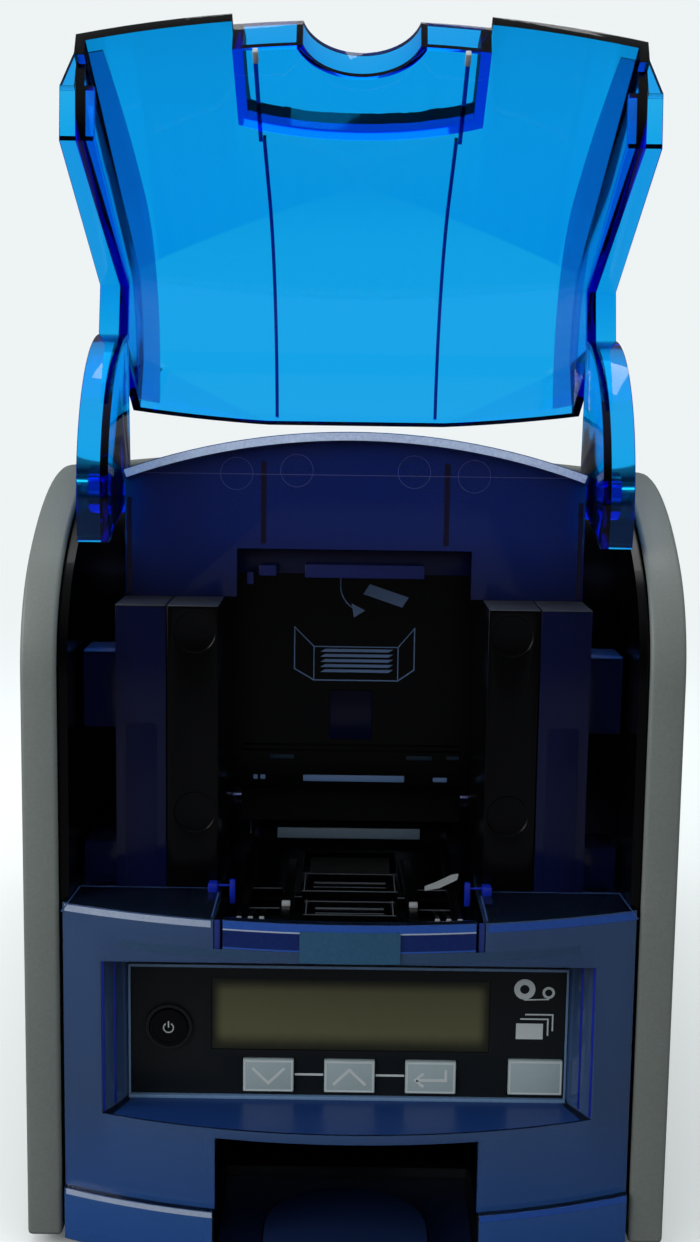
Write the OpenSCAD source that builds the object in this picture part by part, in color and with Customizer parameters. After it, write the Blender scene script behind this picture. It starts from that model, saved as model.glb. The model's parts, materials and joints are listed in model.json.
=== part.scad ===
// Desktop card printer with a hinged see-through hopper cover, shown with the cover open.
// X is the width, Y runs from the front to the back, Z is up. The feet stand on Z = 0.

/* [Casing] */
// Width over the two side panels
body_w = 175; // [168:1:190]
// Depth from the output tray's front to the side panels' back edges
body_d = 391; // [385:1:420]
// Height of the roof's crest above the table
body_h = 224; // [222:1:232]
// How steeply the roof and the side panels' tops fall to the back, in degrees
roof_fall = 1.6; // [1:0.1:2]
// Width of a side panel's rim, seen from the front
panel_t = 9.5; // [8:0.5:11]
// Wall of a side panel
panel_wall = 2.5; // [2:0.1:3.5]
// How far the side panels' tops lie under the roof's crest
panel_drop = 12; // [10:0.5:14]
// Radius of the lower part of the side panels' front corner
nose_r = 40; // [36:1:44]
// Radius of the upper part of the side panels' front corner
brow_r = 91.5; // [88:0.5:95]
// Radius of the side panels' back top corner
tail_r = 10; // [6:1:20]
// Gap between the side panels and the table
panel_lift = 3.5; // [2.5:0.5:5]
// Thickness of the inner side walls
side_wall = 2.5; // [2:0.1:3]
// Radius of the arched roof
roof_r = 192; // [185:1:215]
// Wall of the see-through shells
shell = 2.5; // [2:0.1:3]
// Depth at which the roof starts, behind the side panels' front edges
roof_u = 31; // [30:0.5:34]
// Depth at which the fixed roof ends and the top cover starts
split_u = 106; // [105:1:112]
// Height of the rubber feet
foot_h = 6; // [5:0.5:8]
// Radius of the rubber feet
foot_r = 9; // [7:0.5:11]
// Thickness of the steel base
base_t = 3; // [2:0.1:4]

/* [Front] */
// Radius of the front's bulge, seen from above
bulge_r = 196; // [190:1:215]
// How far the bulge stands ahead of the side panels
bulge = 15; // [13:0.5:17]
// How far the output tray stands ahead of the front bezel
tray_step = 2; // [1:0.5:4]
// Gap between the front and the side panels
front_gap = 1; // [0.5:0.1:2]
// Height of the ledge that the cover closes onto
ledge_z = 98.5; // [97:0.5:101]
// Height of the seam between the bezel and the output tray
seam_z = 18.4; // [16:0.2:20]
// Half the width of the card opening
mouth_x = 35; // [34:0.5:36]
// Top of the output opening
mouth_z = 38.4; // [36:0.2:38.6]
// Radius of the output tray's round tongue
tongue_r = 22.5; // [18:0.5:24]
// Depth of the tongue's far edge
tongue_u = 18; // [14:0.5:22]
// Height of the tongue's top
tongue_z = 10; // [9:0.5:12]
// Depth of the output chute's back wall
chute_u = 82; // [70:1:86]
// Half the width of the feed lip
lip_x = 33; // [30:0.5:34]

/* [Display] */
// Distance from the display plate's ends to the front's ends
plate_edge = 16.7; // [15:0.1:17.5]
// Bottom of the display plate
plate_z0 = 41.2; // [41:0.1:42]
// Top of the display plate
plate_z1 = 79.5; // [79:0.1:82]
// Depth of the plate's face behind the side panels' front edges
plate_u = 8; // [6:0.5:9]
// Thickness of the display plate
plate_t = 2; // [1.5:0.1:2.5]
// Distance from the slanted surround's ends to the front's ends
surround_edge = 10.5; // [9:0.5:12]
// Top of the display's slanted surround
surround_z = 88; // [86:0.5:90]
// Room that the window leaves for the controls beside it
window_edge = 43.9; // [40:0.1:48]
// Bottom of the display window
window_z0 = 54.7; // [54:0.1:56]
// Top of the display window
window_z1 = 75; // [72:0.1:76]
// Width of a small key
key_w = 14; // [12:0.2:15]
// Height of a small key
key_h = 9.3; // [8:0.1:9.6]
// Distance between the small keys
key_pitch = 22.4; // [20:0.2:23]
// Height of the keys' centre line
key_z = 47.6; // [47.5:0.1:48.2]
// Width of the large key
user_key_w = 15; // [13:0.2:15.4]
// Travel of the keys
key_travel = 0.6; // [0.4:0.1:0.8]
// How far the keys stand proud of the plate
key_proud = 0.9; // [0.8:0.1:1.4]
// Radius of the power button
power_r = 5.2; // [4:0.1:6]
// Height of the power button's centre
power_z = 61.3; // [58:0.1:64]
// Travel of the power button
power_travel = 1; // [0.6:0.1:1.2]

/* [Cover] */
// Gap between the cover's flanges and the inner side walls
lid_gap = 1; // [0.5:0.1:2]
// Width of the cover's flanges, seen from the front
flange_w = 6; // [4.5:0.1:7]
// How much narrower the cover is at its top edge, on each side
lid_taper = 3; // [1:0.1:4]
// How far the cover opens, in degrees
lid_angle = 121; // [105:1:122]
// Depth of the hinge axis behind the side panels' front edges
hinge_u = 58.7; // [57:0.1:60]
// Height of the hinge axis
hinge_z = 205.7; // [205:0.1:207]
// Radius of the hinge pins
hinge_pin_r = 3; // [2.5:0.1:3.5]
// Radius of the hinge hubs
hub_r = 7; // [6:0.2:9]
// Radius of the round arms
arm_r = 45; // [43:0.5:46]
// Angle of arc that an arm covers
arm_arc = 100; // [90:1:105]
// Radius of the cover's front, seen from above
lid_r = 277; // [250:1:300]
// How far the cover's front stands ahead of the side panels
lid_bulge = 19.7; // [19:0.1:22]
// Height of the cover's lower edge
lid_low = 95.5; // [95.2:0.1:97]
// Depth of the flange at its lower end
rim_low_u = 15; // [12:0.5:17]
// Depth of the flange at its upper end
rim_high_u = 8.7; // [7:0.1:11]
// Height of the cover's crest
lid_h = 222.5; // [221:0.1:223]
// Radius of the cover's arched top
lid_arch_r = 260; // [240:5:280]
// Depth of the cover's top edge
lid_top_u = 27.4; // [26:0.1:27.6]
// Radius of the cover's front top corner
brim_r = 60; // [54:1:64]
// Radius of the thumb notch
notch_r = 15.3; // [12:0.1:18]
// Depth of the thumb notch
notch_d = 11.5; // [9:0.5:12]
// Half the width of the thumb pocket
pocket_x = 30; // [28:0.5:31.5]
// Height of the thumb pocket on its middle line
pocket_h = 37; // [33:0.5:39]
// Radius of the thumb pocket's far edge
pocket_r = 69; // [60:1:80]
// How far the thumb pocket's near edge stands back from the cover's lower edge
pocket_back = 3.7; // [3:0.1:5]
// Depth of the thumb pocket
pocket_d = 5.5; // [4:0.5:6]

/* [Hopper] */
// Gap between the hopper frame and the cover's side walls, with the cover's taper
frame_gap = 1.5; // [1:0.1:3]
// Depth of the hopper frame's face
frame_u = 35; // [34:0.5:37]
// Top of the card guides
guide_z = 177; // [170:0.5:178]
// Half the width of the card well
well_x = 36.5; // [36:0.1:37]
// Depth of the guides' front faces
guide_u = 15; // [13:0.5:18]
// Depth of the hopper's back plate
back_u = 76; // [74:1:80]
// Half the distance between the card tray's rails
rail_x = 27.6; // [27.3:0.1:28]

/* [Print engine] */
// Half the distance between the engine's side plates
engine_x = 42; // [41:0.5:43]
// Thickness of the engine's side plates
engine_t = 2; // [1.5:0.1:2.5]
// Radius of the rubber rollers
roller_r = 8; // [7:0.1:8.6]
// Radius of the roller shafts
shaft_r = 3; // [2.5:0.1:3.5]
// Radius of the idler rollers
idler_r = 6; // [5:0.1:6.5]
// Radius of the pick roller
pick_r = 9; // [8:0.1:9.5]
// Radius of the roller pulleys
pulley_r = 10; // [8:0.1:11]
// Radius of the motor's pulley
pinion_r = 6; // [5:0.1:7]
// Width of the drive belt
belt_w = 5; // [4:0.5:6]
// Thickness of the drive belt
belt_t = 1.2; // [1:0.1:1.6]
// Radius of a full ribbon roll
ribbon_r = 17; // [14:0.5:18]
// Width of the motor
motor_w = 42; // [35:1:42]
// Running clearance of a shaft in its bore
running = 0.06; // [0.03:0.01:0.09]
// Gap between pieces that sit beside each other
gap = 0.3; // [0.2:0.05:0.4]

/* [Hidden] */
$fn = 64;
eps = 0.01;

// The open cover reaches furthest forwards at the lower end of its flanges
flange_z = ledge_z + 6;
reach_u = hinge_u + (rim_low_u - hinge_u) * cos(lid_angle) + (flange_z - hinge_z) * sin(lid_angle);
rear_u = body_d - bulge - tray_step;
front_reach = min(reach_u, -bulge - tray_step);
face_y = -(rear_u + front_reach) / 2;

// Places that follow from the sizes
panel_in = body_w / 2 - panel_t;
wall_in = panel_in - side_wall;
panel_top = body_h - panel_drop;
front_x = panel_in - front_gap;
plate_x = front_x - plate_edge;
surround_x = front_x - surround_edge;
window_w = 2 * plate_x - window_edge;
lid_x = wall_in - lid_gap;
lid_wall_x = lid_x - flange_w;
lid_low_x = lid_wall_x + shell;
frame_x = lid_wall_x - shell - frame_gap;
guide_w = (frame_x - well_x) / 2;
bulge_u = bulge_r - bulge;
roof_cz = body_h - roof_r;
floor_z = foot_h + base_t;
bezel_back = roof_u;
brow_a = 130;
brow_u = nose_r + (brow_r - nose_r) * cos(180 - brow_a);
brow_z = panel_top - brow_r;
nose_z = brow_z + (brow_r - nose_r) * sin(brow_a);
cover_hinge_u = rear_u - 9;
cover_hinge_z = panel_top - (rear_u - roof_u) * tan(roof_fall) - 14;
cover_pin_r = 2;
back_wall_u = rear_u - 4;
end_u = rear_u - 1.5;
rear_z = cover_hinge_z - 12;
tray_z = surround_z + shell;
tray_t = 2;
path_z = tray_z + tray_t + 1.5;
card_t = 0.8;

// One block between two corners, with depths counted from the side panels' front edges
module block(x0, x1, u0, u1, z0, z1)
    translate([x0, face_y + u0, z0]) cube([x1 - x0, u1 - u0, z1 - z0]);

// What is drawn on the right, on the left as well
module both() {
    children();
    mirror([1, 0, 0]) children();
}

// A round bar along the width
module bar_x(x0, x1, u, z, r)
    translate([x0, face_y + u, z]) rotate([0, 90, 0]) cylinder(r = r, h = x1 - x0);

// A round bar along the depth
module bar_y(x, z, u0, u1, r)
    translate([x, face_y + u0, z]) rotate([-90, 0, 0]) cylinder(r = r, h = u1 - u0);

// A standing round post
module post(x, u, z0, z1, r)
    translate([x, face_y + u, z0]) cylinder(r = r, h = z1 - z0);

// A slab along the width, with its outline drawn in depth and height
module slab(x0, x1)
    translate([x0, face_y, 0]) rotate([90, 0, 90]) linear_extrude(x1 - x0) children();

// The standing round body that gives the front its bulge
module bulge_body(out, z0, z1)
    translate([0, face_y + bulge_u, z0]) cylinder(r = bulge_r + out, h = z1 - z0, $fn = 180);

// The lying round body that gives the roof its arch and its fall to the back
module roof_body(out, u0, u1) intersection() {
    translate([0, face_y + roof_u, roof_cz]) rotate([-90 - roof_fall, 0, 0]) translate([0, 0, -roof_u])
        cylinder(r = roof_r + out, h = body_d + bulge, $fn = 180);
    block(-body_w, body_w, u0, u1, roof_cz, 2 * body_h);
}

// Casing

// The body of a side panel: a flat face, a nose and a brow that meet smoothly, a top that falls to the back
module panel_body(x0, x1, inset) {
    z0 = panel_lift + inset;
    u1 = rear_u - inset;
    r2 = brow_r - inset;
    r3 = tail_r - min(inset, tail_r - 1);
    top = [brow_u + r2 * sin(roof_fall), brow_z + r2 * cos(roof_fall)];
    tail = [u1 - r3, top[1] - (u1 - r3 - top[0]) * tan(roof_fall) - r3 / cos(roof_fall)];
    slab(x0, x1) translate([nose_r, nose_z]) circle(nose_r - inset, $fn = 120);
    slab(x0, x1) translate([brow_u, brow_z]) intersection() {
        circle(r2, $fn = 180);
        polygon([[0, 0], 2 * r2 * [cos(brow_a), sin(brow_a)], 2 * r2 * [sin(roof_fall), cos(roof_fall)]]);
    }
    slab(x0, x1) polygon([[inset, z0], [inset, nose_z], [nose_r, nose_z], top,
        tail + r3 * [sin(roof_fall), cos(roof_fall)], tail, [u1, tail[1]], [u1, z0]]);
    slab(x0, x1) translate(tail) circle(r3);
}

module side_panel() color([0.50, 0.51, 0.49]) difference() {
    panel_body(panel_in, body_w / 2, 0);
    panel_body(panel_in - eps, body_w / 2 - panel_wall, panel_wall);
}

// The black wall inside a side panel, cut away where the bezel stands
module inner_wall() color([0.03, 0.03, 0.04]) difference() {
    panel_body(wall_in, panel_in, 3);
    block(wall_in - 1, panel_in + 1, -bezel_back, bezel_back, 0, ledge_z);
    block(wall_in - 1, panel_in + 1, 0, body_d, 0, foot_h);
    block(wall_in - 1, panel_in + 1, end_u, body_d, 0, body_h);
    bar_x(wall_in - 1, panel_in + 1, hinge_u, hinge_z, hinge_pin_r);
    bar_x(wall_in - 1, panel_in + 1, cover_hinge_u, cover_hinge_z, cover_pin_r);
}

screw_z = [24, 168];
screw_x = wall_in - 5;
module side_panel_left() mirror([1, 0, 0]) side_panel();
module side_panel_right() side_panel();
module inner_wall_left() mirror([1, 0, 0]) inner_wall();
module inner_wall_right() inner_wall();

module base_pan() color([0.62, 0.64, 0.66]) {
    block(-wall_in, wall_in, bezel_back, back_wall_u, foot_h, floor_z);
    both() for (z = screw_z) difference() {
        block(screw_x - 5, wall_in, back_wall_u - 3, back_wall_u, z < 100 ? floor_z : z - 6, z + 6);
        bar_y(screw_x, z, back_wall_u - 4, back_wall_u + 1, 1.5);
    }
    both() block(wall_in - 2, wall_in, back_wall_u - 3, back_wall_u, floor_z, screw_z[1] + 6);
}

foot_x = wall_in - 17.5;
foot_u = [46, rear_u - 26];
module feet() color([0.07, 0.07, 0.07]) both() for (u = foot_u) post(foot_x, u, 0, foot_h, foot_r);

inlet_x = wall_in - 27.5;
inlet_z = 26;
port_x = -wall_in + 5;
usb_z = 44;
net_z = 68;
fan_z = 96;
fan_w = 40;
module rear_panel() color([0.35, 0.36, 0.37]) difference() {
    block(-wall_in, wall_in, back_wall_u, end_u, foot_h, rear_z);
    block(inlet_x - 8, inlet_x + 8, back_wall_u - 1, rear_u, inlet_z - 8, inlet_z + 8);
    block(port_x - eps, port_x + 12.5, back_wall_u - 1, rear_u, usb_z - 6, usb_z + 6);
    block(port_x - eps, port_x + 14, back_wall_u - 1, rear_u, net_z - 8, net_z + 8);
    for (i = [-4:4]) block(4 * i - 1.2, 4 * i + 1.2, back_wall_u - 1, rear_u, fan_z - 14, fan_z + 14);
    both() for (z = screw_z) bar_y(screw_x, z, back_wall_u - 1, rear_u, 1.5);
}

module rear_screws() color([0.75, 0.76, 0.78]) both() for (z = screw_z) {
    bar_y(screw_x, z, back_wall_u - 6, end_u, 1.5);
    difference() {
        bar_y(screw_x, z, end_u, end_u + 1.4, 3);
        block(screw_x - 2.2, screw_x + 2.2, end_u + 0.6, rear_u + 1, z - 0.4, z + 0.4);
        block(screw_x - 0.4, screw_x + 0.4, end_u + 0.6, rear_u + 1, z - 2.2, z + 2.2);
    }
}

// Front

ledge_x0 = mouth_x + 0.5;
seat_x = plate_x - 3.3;
boss_z = [plate_z0 + 5, plate_z1 - 4];
boss_x = seat_x + 2.6;
board_u = plate_u + plate_t + 5;

// The slanted pocket that the display plate sits in, open to the front
module surround_pocket() intersection() {
    slab(-surround_x, surround_x) polygon([[-20, plate_z0 - 0.2], [plate_u + plate_t, plate_z0 - 0.2],
        [plate_u + plate_t, plate_z1], [plate_u, plate_z1], [-bulge, surround_z], [-20, surround_z]]);
    translate([0, face_y, 0]) linear_extrude(body_h) polygon([[-surround_x, -20], [surround_x, -20],
        [surround_x, -4], [plate_x, plate_u], [plate_x, plate_u + plate_t], [-plate_x, plate_u + plate_t],
        [-plate_x, plate_u], [-surround_x, -4]]);
}

module bezel_body(out) intersection() {
    bulge_body(out, seam_z - out, ledge_z + out);
    block(-front_x - out, front_x + out, -2 * bulge, bezel_back - out, 0, body_h);
}

module front_bezel() color([0.16, 0.26, 0.55]) {
    difference() {
        bezel_body(0);
        difference() {
            bezel_body(-shell);
            intersection() {
                bulge_body(0, plate_z0 - shell - 0.2, surround_z + shell);
                block(-surround_x - shell, surround_x + shell, -2 * bulge, plate_u + plate_t + 2, 0, body_h);
            }
        }
        block(-front_x + shell, front_x - shell, plate_u + plate_t + 4, bezel_back + 1, seam_z - 1, ledge_z - shell);
        intersection() {
            bulge_body(-shell, seam_z - 1, plate_z0 - shell - 0.2);
            block(-front_x + shell, front_x - shell, -2 * bulge, bezel_back + 1, 0, body_h);
        }
        block(-mouth_x, mouth_x, -2 * bulge, bezel_back + 1, seam_z - 1, mouth_z);
        block(-ledge_x0, ledge_x0, -2 * bulge, bezel_back + 1, surround_z + shell, body_h);
        surround_pocket();
        block(-seat_x, seat_x, plate_u, board_u + 1, plate_z0 - 0.2, plate_z1 - 1);
    }
    intersection() {
        difference() {
            bulge_body(0, surround_z + shell - eps, ledge_z);
            bulge_body(-3, surround_z, ledge_z + 1);
        }
        block(-lip_x, lip_x, -2 * bulge, 0, 0, body_h);
    }
    both() for (z = boss_z) bar_y(boss_x, z, plate_u + plate_t + 2 - eps, board_u, 2);
}

module tray_body(out) intersection() {
    bulge_body(tray_step + out, panel_lift - out, seam_z);
    block(-front_x - out, front_x + out, -2 * bulge, bezel_back - out, 0, body_h);
}

module output_tray() color([0.14, 0.24, 0.52]) {
    difference() {
        union() {
            difference() {
                tray_body(0);
                tray_body(-shell);
            }
            intersection() {
                tray_body(0);
                union() {
                    block(-front_x, front_x, 2, bezel_back, panel_lift, foot_h);
                    both() block(mouth_x, front_x, -bulge, bezel_back, seam_z - shell, seam_z);
                    both() block(mouth_x, mouth_x + shell, -2 * bulge, bezel_back, panel_lift, seam_z);
                }
            }
        }
        block(-mouth_x, mouth_x, -2 * bulge, -4, foot_h + shell, body_h);
    }
    tongue();
}

// A raised half-round rest on the tray's floor, with straight sides to the tray's front
module tongue() intersection() {
    tray_body(-eps);
    union() {
        post(0, tongue_u - tongue_r, foot_h - eps, tongue_z, tongue_r);
        block(-tongue_r, tongue_r, -2 * bulge, tongue_u - tongue_r, foot_h - eps, tongue_z);
    }
}

module output_chute() color([0.05, 0.05, 0.06]) difference() {
    block(-mouth_x - 2, mouth_x + 2, bezel_back + gap, chute_u, floor_z, mouth_z + 2);
    block(-mouth_x, mouth_x, bezel_back - 1, chute_u - 2, floor_z + 2, mouth_z);
}

// Display

window_x = 0.65;
key_x = 0.6;
user_key_x = plate_x - 8.4;
user_key_z = key_z + 0.4;
user_key_h = 10;
power_x = -plate_x + 11;
plate_back = plate_u + plate_t;

module display_plate() color([0.10, 0.13, 0.15]) difference() {
    block(-plate_x, plate_x, plate_u, plate_back, plate_z0, plate_z1);
    block(window_x - window_w / 2, window_x + window_w / 2, plate_u - 1, plate_back + 1, window_z0, window_z1);
    for (i = [-1:1]) key_hole(key_x + i * key_pitch, key_w, key_z, key_h);
    key_hole(user_key_x, user_key_w, user_key_z, user_key_h);
    bar_y(power_x, power_z, plate_u - 1, plate_back + 1, power_r + gap);
}

module key_hole(x, w, z, h)
    block(x - w / 2 - gap, x + w / 2 + gap, plate_u - 1, plate_back + 1, z - h / 2 - gap, z + h / 2 + gap);

// A key's cap shows in the plate, and the collar behind it keeps it from falling out
module key(x, w, z, h) color([0.62, 0.70, 0.73]) {
    block(x - w / 2, x + w / 2, plate_u - key_proud, plate_back - key_travel - gap, z - h / 2, z + h / 2);
    block(x - w / 2 + 2.5, x + w / 2 - 2.5, plate_u, board_u - key_travel - gap, z - h / 2, z + h / 2);
    block(x - w / 2 + 2.5, x + w / 2 - 2.5, plate_back + gap, plate_back + gap + 1, z - h / 2, z + h / 2 + 1.2);
}

module key_down() key(key_x - key_pitch, key_w, key_z, key_h);
module key_up() key(key_x, key_w, key_z, key_h);
module key_enter() key(key_x + key_pitch, key_w, key_z, key_h);
module key_user() key(user_key_x, user_key_w, user_key_z, user_key_h);

module power_button() color([0.05, 0.05, 0.06]) {
    bar_y(power_x, power_z, plate_u - power_travel - gap, board_u - power_travel - gap, power_r);
    bar_y(power_x, power_z, plate_back + gap, plate_back + gap + 1, power_r + 1);
}

module power_ring() color([0.55, 0.57, 0.60]) difference() {
    bar_y(power_x, power_z, plate_u - 0.8, plate_u, power_r + gap + 0.9);
    bar_y(power_x, power_z, plate_u - 1, plate_u + 1, power_r + gap);
}

module display_window() color([0.25, 0.26, 0.20, 0.9])
    block(window_x - window_w / 2 + 0.1, window_x + window_w / 2 - 0.1, plate_u + 0.4, plate_back,
        window_z0 + 0.1, window_z1 - 0.1);

module display_module() color([0.20, 0.22, 0.18])
    block(window_x - window_w / 2 - 3, window_x + window_w / 2 + 3, plate_back, board_u,
        window_z0 - 1, window_z1 + 2);

module display_board() color([0.05, 0.30, 0.15])
    block(-boss_x - 2, boss_x + 2, board_u, board_u + 1.6, plate_z0 + 1, plate_z1 - 0.5);

// Hopper

guide_out = well_x + guide_w;
back_z0 = 112;
notch_top = 191;
wing_x = wall_in - 1.5;
wing_u = 20;

module hopper_frame() color([0.08, 0.11, 0.36]) {
    difference() {
        intersection() {
            block(-frame_x, frame_x, frame_u, frame_u + shell, floor_z, body_h);
            roof_body(-shell, 0, split_u);
        }
        block(-well_x - shell - gap, well_x + shell + gap, frame_u - 1, frame_u + shell + 1, 0, guide_z + gap);
        block(-lip_x, lip_x, frame_u - 1, frame_u + shell + 1, 0, notch_top);
        both() block(0, well_x + 11.5, frame_u - 1, frame_u + shell + 1, 0, ledge_z);
    }
    both() difference() {
        union() {
            block(guide_out + gap, frame_x, guide_u, frame_u, ledge_z, guide_z);
            block(frame_x - eps, wing_x, wing_u, frame_u, 142.5, 163.5);
            block(frame_x - eps, wing_x, wing_u, frame_u, ledge_z, 110);
        }
        block(guide_out + gap + shell, frame_x - shell, guide_u + shell, frame_u + eps, ledge_z - 1, guide_z - shell);
        block(frame_x - 1, wing_x - shell, wing_u + shell, frame_u + eps, 145, 161);
        block(frame_x - 1, wing_x - shell, wing_u + shell, frame_u + eps, ledge_z - 1, 107.5);
    }
}

module hopper_roof() color([0.10, 0.14, 0.42]) {
    intersection() {
        difference() {
            roof_body(0, roof_u, split_u - gap);
            roof_body(-shell, roof_u - 1, split_u);
        }
        block(-frame_x, frame_x, roof_u, split_u, roof_cz, body_h + 1);
    }
    both() intersection() {
        block(frame_x - shell, frame_x, frame_u + shell, split_u - gap, 165, body_h);
        roof_body(-shell / 2, roof_u, split_u);
    }
}

// A black guide: a face towards the front and a wall along the cards
module card_guide() color([0.02, 0.02, 0.03]) difference() {
    union() {
        block(well_x, guide_out, guide_u, guide_u + shell, ledge_z, guide_z);
        block(well_x, well_x + shell, guide_u, back_u, ledge_z, guide_z);
    }
    for (z = [120, 170]) bar_y(well_x + guide_w / 2 - 0.5, z, guide_u - 1, guide_u + 0.4, 0.4 * guide_w);
}
module card_guide_left() mirror([1, 0, 0]) card_guide();
module card_guide_right() card_guide();

module hopper_back() color([0.02, 0.02, 0.03]) intersection() {
    block(-well_x - 5, well_x + 5, back_u, back_u + shell, back_z0, body_h);
    roof_body(-shell, 0, split_u);
}

module feed_gate() color([0.55, 0.60, 0.66]) {
    block(-22.5, 22.5, back_u + 4, back_u + 7, path_z + card_t + gap, path_z + card_t + gap + 4);
    both() block(20, 22.5, back_u + 4, back_u + 7, tray_z + tray_t, path_z + card_t + gap);
}

pick_u = 62;
pick_z = path_z - 0.5 - pick_r;
rest_z = path_z + 3.7;
module card_tray() color([0.03, 0.03, 0.04]) {
    difference() {
        union() {
            block(-lip_x - 1.5, lip_x + 1.5, gap - 8, bezel_back + gap, tray_z, tray_z + tray_t);
            block(-engine_x - engine_t, engine_x + engine_t, bezel_back + gap, back_u + 10, tray_z, tray_z + tray_t);
        }
        block(-14, 14, pick_u - pick_r - 2, pick_u + pick_r + 2, tray_z - 1, path_z);
        for (u = [2, 16, 30]) block(-10, 10, u, u + 9, tray_z - 1, path_z);
    }
    both() block(rail_x, rail_x + 3, gap - 8, back_u + 10, tray_z + tray_t - eps, path_z + 2);
    both() slab(16, 18.5) rest_outline(gap - 8, 60);
    both() for (i = [0:2]) slab(rail_x - 5 + i * 3, rail_x - 3.8 + i * 3) rest_outline(-5.5, 12);
    block(-lip_x - 1, lip_x + 1, gap - 8, gap - 6, tray_z, path_z);
}

// A rest that slopes down from the front, seen from the side
module rest_outline(u0, u1) polygon([[u0, tray_z + tray_t - eps], [u0, rest_z], [u0 + 1, rest_z],
    [u1, path_z - 0.2], [u1, tray_z + tray_t - eps]]);

// Cover, drawn closed and then swung open

arm_start = 216;
arm_start_u = hinge_u + arm_r * cos(arm_start);
arm_start_z = hinge_z + arm_r * sin(arm_start);
rim_top = arm_start_z - 4.5;
pocket_z0 = lid_low + pocket_back;
notch_z = pocket_z0 + notch_d - notch_r;
web_z0 = ledge_z + gap;

module swung_open()
    translate([0, face_y + hinge_u, hinge_z]) rotate([-lid_angle, 0, 0])
        translate([0, -face_y - hinge_u, -hinge_z]) children();

// The standing round body that gives the cover's front its bulge
module lid_bulge(out, z0, z1)
    translate([0, face_y + lid_r - lid_bulge, z0]) cylinder(r = lid_r + out, h = z1 - z0, $fn = 180);

// The cover's sides come closer together towards the top
module lid_width(out) translate([0, face_y + body_h, 0]) rotate([90, 0, 0]) linear_extrude(2 * body_h)
    polygon([[-lid_low_x - out, 0], [lid_low_x + out, 0], [lid_low_x + out, lid_low],
        [lid_low_x + out - lid_taper, lid_h + shell], [-lid_low_x - out + lid_taper, lid_h + shell],
        [-lid_low_x - out, lid_low]]);

module lid_body(out) intersection() {
    lid_bulge(out, lid_low + out, lid_h + shell);
    lid_width(out);
    translate([0, face_y - 2 * bulge, lid_h - lid_arch_r]) rotate([-90, 0, 0])
        cylinder(r = lid_arch_r + out, h = body_h, $fn = 180);
    slab(-body_w, body_w) union() {
        translate([brim_r - lid_bulge, lid_h - brim_r]) circle(brim_r + out, $fn = 180);
        translate([-lid_bulge - out, 0]) square([brim_r + out, lid_h - brim_r]);
        translate([brim_r - lid_bulge - eps, 0]) square([brim_r, lid_h + shell]);
    }
}

// What lies in front of the cover's back edges
module lid_front() slab(-body_w, body_w)
    polygon([[-3 * bulge, 0], [-4, 0], [-4, web_z0], [2.7, web_z0], [rim_low_u, flange_z],
        [rim_high_u, rim_top], [arm_start_u, arm_start_z],
        [lid_top_u, hinge_z - (hinge_u - lid_top_u) * tan(arm_start - 180)], [lid_top_u, lid_h + 1],
        [-3 * bulge, lid_h + 1]]);

// The flange along a side wall's back edge, seen from the side
module flange_outline() polygon([[2.7, web_z0], [rim_low_u, flange_z], [rim_high_u, rim_top],
    [arm_start_u, arm_start_z], [arm_start_u, arm_start_z + shell], [rim_high_u - shell, rim_top + shell],
    [rim_low_u - shell, flange_z + 1.5], [2.7, web_z0 + shell]]);

// The thumb pocket seen from the front: straight sides and a round far edge
module pocket_shape(out, z0) intersection() {
    block(-pocket_x - out, pocket_x + out, -3 * bulge, bulge, z0, body_h);
    bar_y(0, lid_low + pocket_h - pocket_r, -3 * bulge, bulge, pocket_r + out);
}

module cover_panel() color([0.05, 0.55, 0.88, 0.6]) swung_open() difference() {
    union() {
        intersection() {
            difference() {
                lid_body(0);
                lid_hollow();
            }
            lid_front();
        }
        both() slab(lid_wall_x - shell, lid_x) flange_outline();
        difference() {
            intersection() {
                pocket_shape(shell, pocket_z0);
                lid_bulge(-eps, lid_low, lid_h);
            }
            lid_bulge(-pocket_d - shell, 0, lid_h);
        }
    }
    difference() {
        pocket_shape(0, pocket_z0 + shell);
        lid_bulge(-pocket_d, 0, lid_h);
        bar_y(0, notch_z, -3 * bulge, bulge, notch_r + shell);
    }
    bar_y(0, notch_z, -3 * bulge, 0, notch_r);
    block(-pocket_x - shell, pocket_x + shell, -3 * bulge, 0, 0, pocket_z0);
}

// The room inside the cover, open at the bottom and at the back
module lid_hollow() intersection() {
    lid_bulge(-shell, 0, lid_h);
    lid_width(-shell);
    translate([0, face_y - 2 * bulge, lid_h - lid_arch_r]) rotate([-90, 0, 0])
        cylinder(r = lid_arch_r - shell, h = body_h, $fn = 180);
    slab(-body_w, body_w) union() {
        translate([brim_r - lid_bulge, lid_h - brim_r]) circle(brim_r - shell, $fn = 180);
        translate([shell - lid_bulge, 0]) square([brim_r, lid_h - brim_r]);
        translate([brim_r - lid_bulge - eps, 0]) square([brim_r, lid_h]);
    }
}

// A round arm: a web, a broad rim along its arc and a hub on the hinge pin
module cover_arm() color([0.05, 0.55, 0.88, 0.6]) swung_open() difference() {
    union() {
        slab(lid_wall_x - shell, lid_wall_x) arm_sector(0);
        slab(lid_wall_x - shell, lid_x) difference() {
            arm_sector(0);
            translate([hinge_u, hinge_z]) circle(arm_r - shell, $fn = 180);
        }
        bar_x(lid_wall_x - shell, lid_x, hinge_u, hinge_z, hub_r);
    }
    bar_x(lid_wall_x - shell - 1, lid_x + 1, hinge_u, hinge_z, hinge_pin_r + running);
}

module arm_sector(inset) translate([hinge_u, hinge_z]) intersection() {
    circle(arm_r - inset, $fn = 180);
    polygon([[0, 0], for (a = [0:2]) 2 * arm_r * [cos(arm_start + a * arm_arc / 2), sin(arm_start + a * arm_arc / 2)]]);
}

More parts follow.
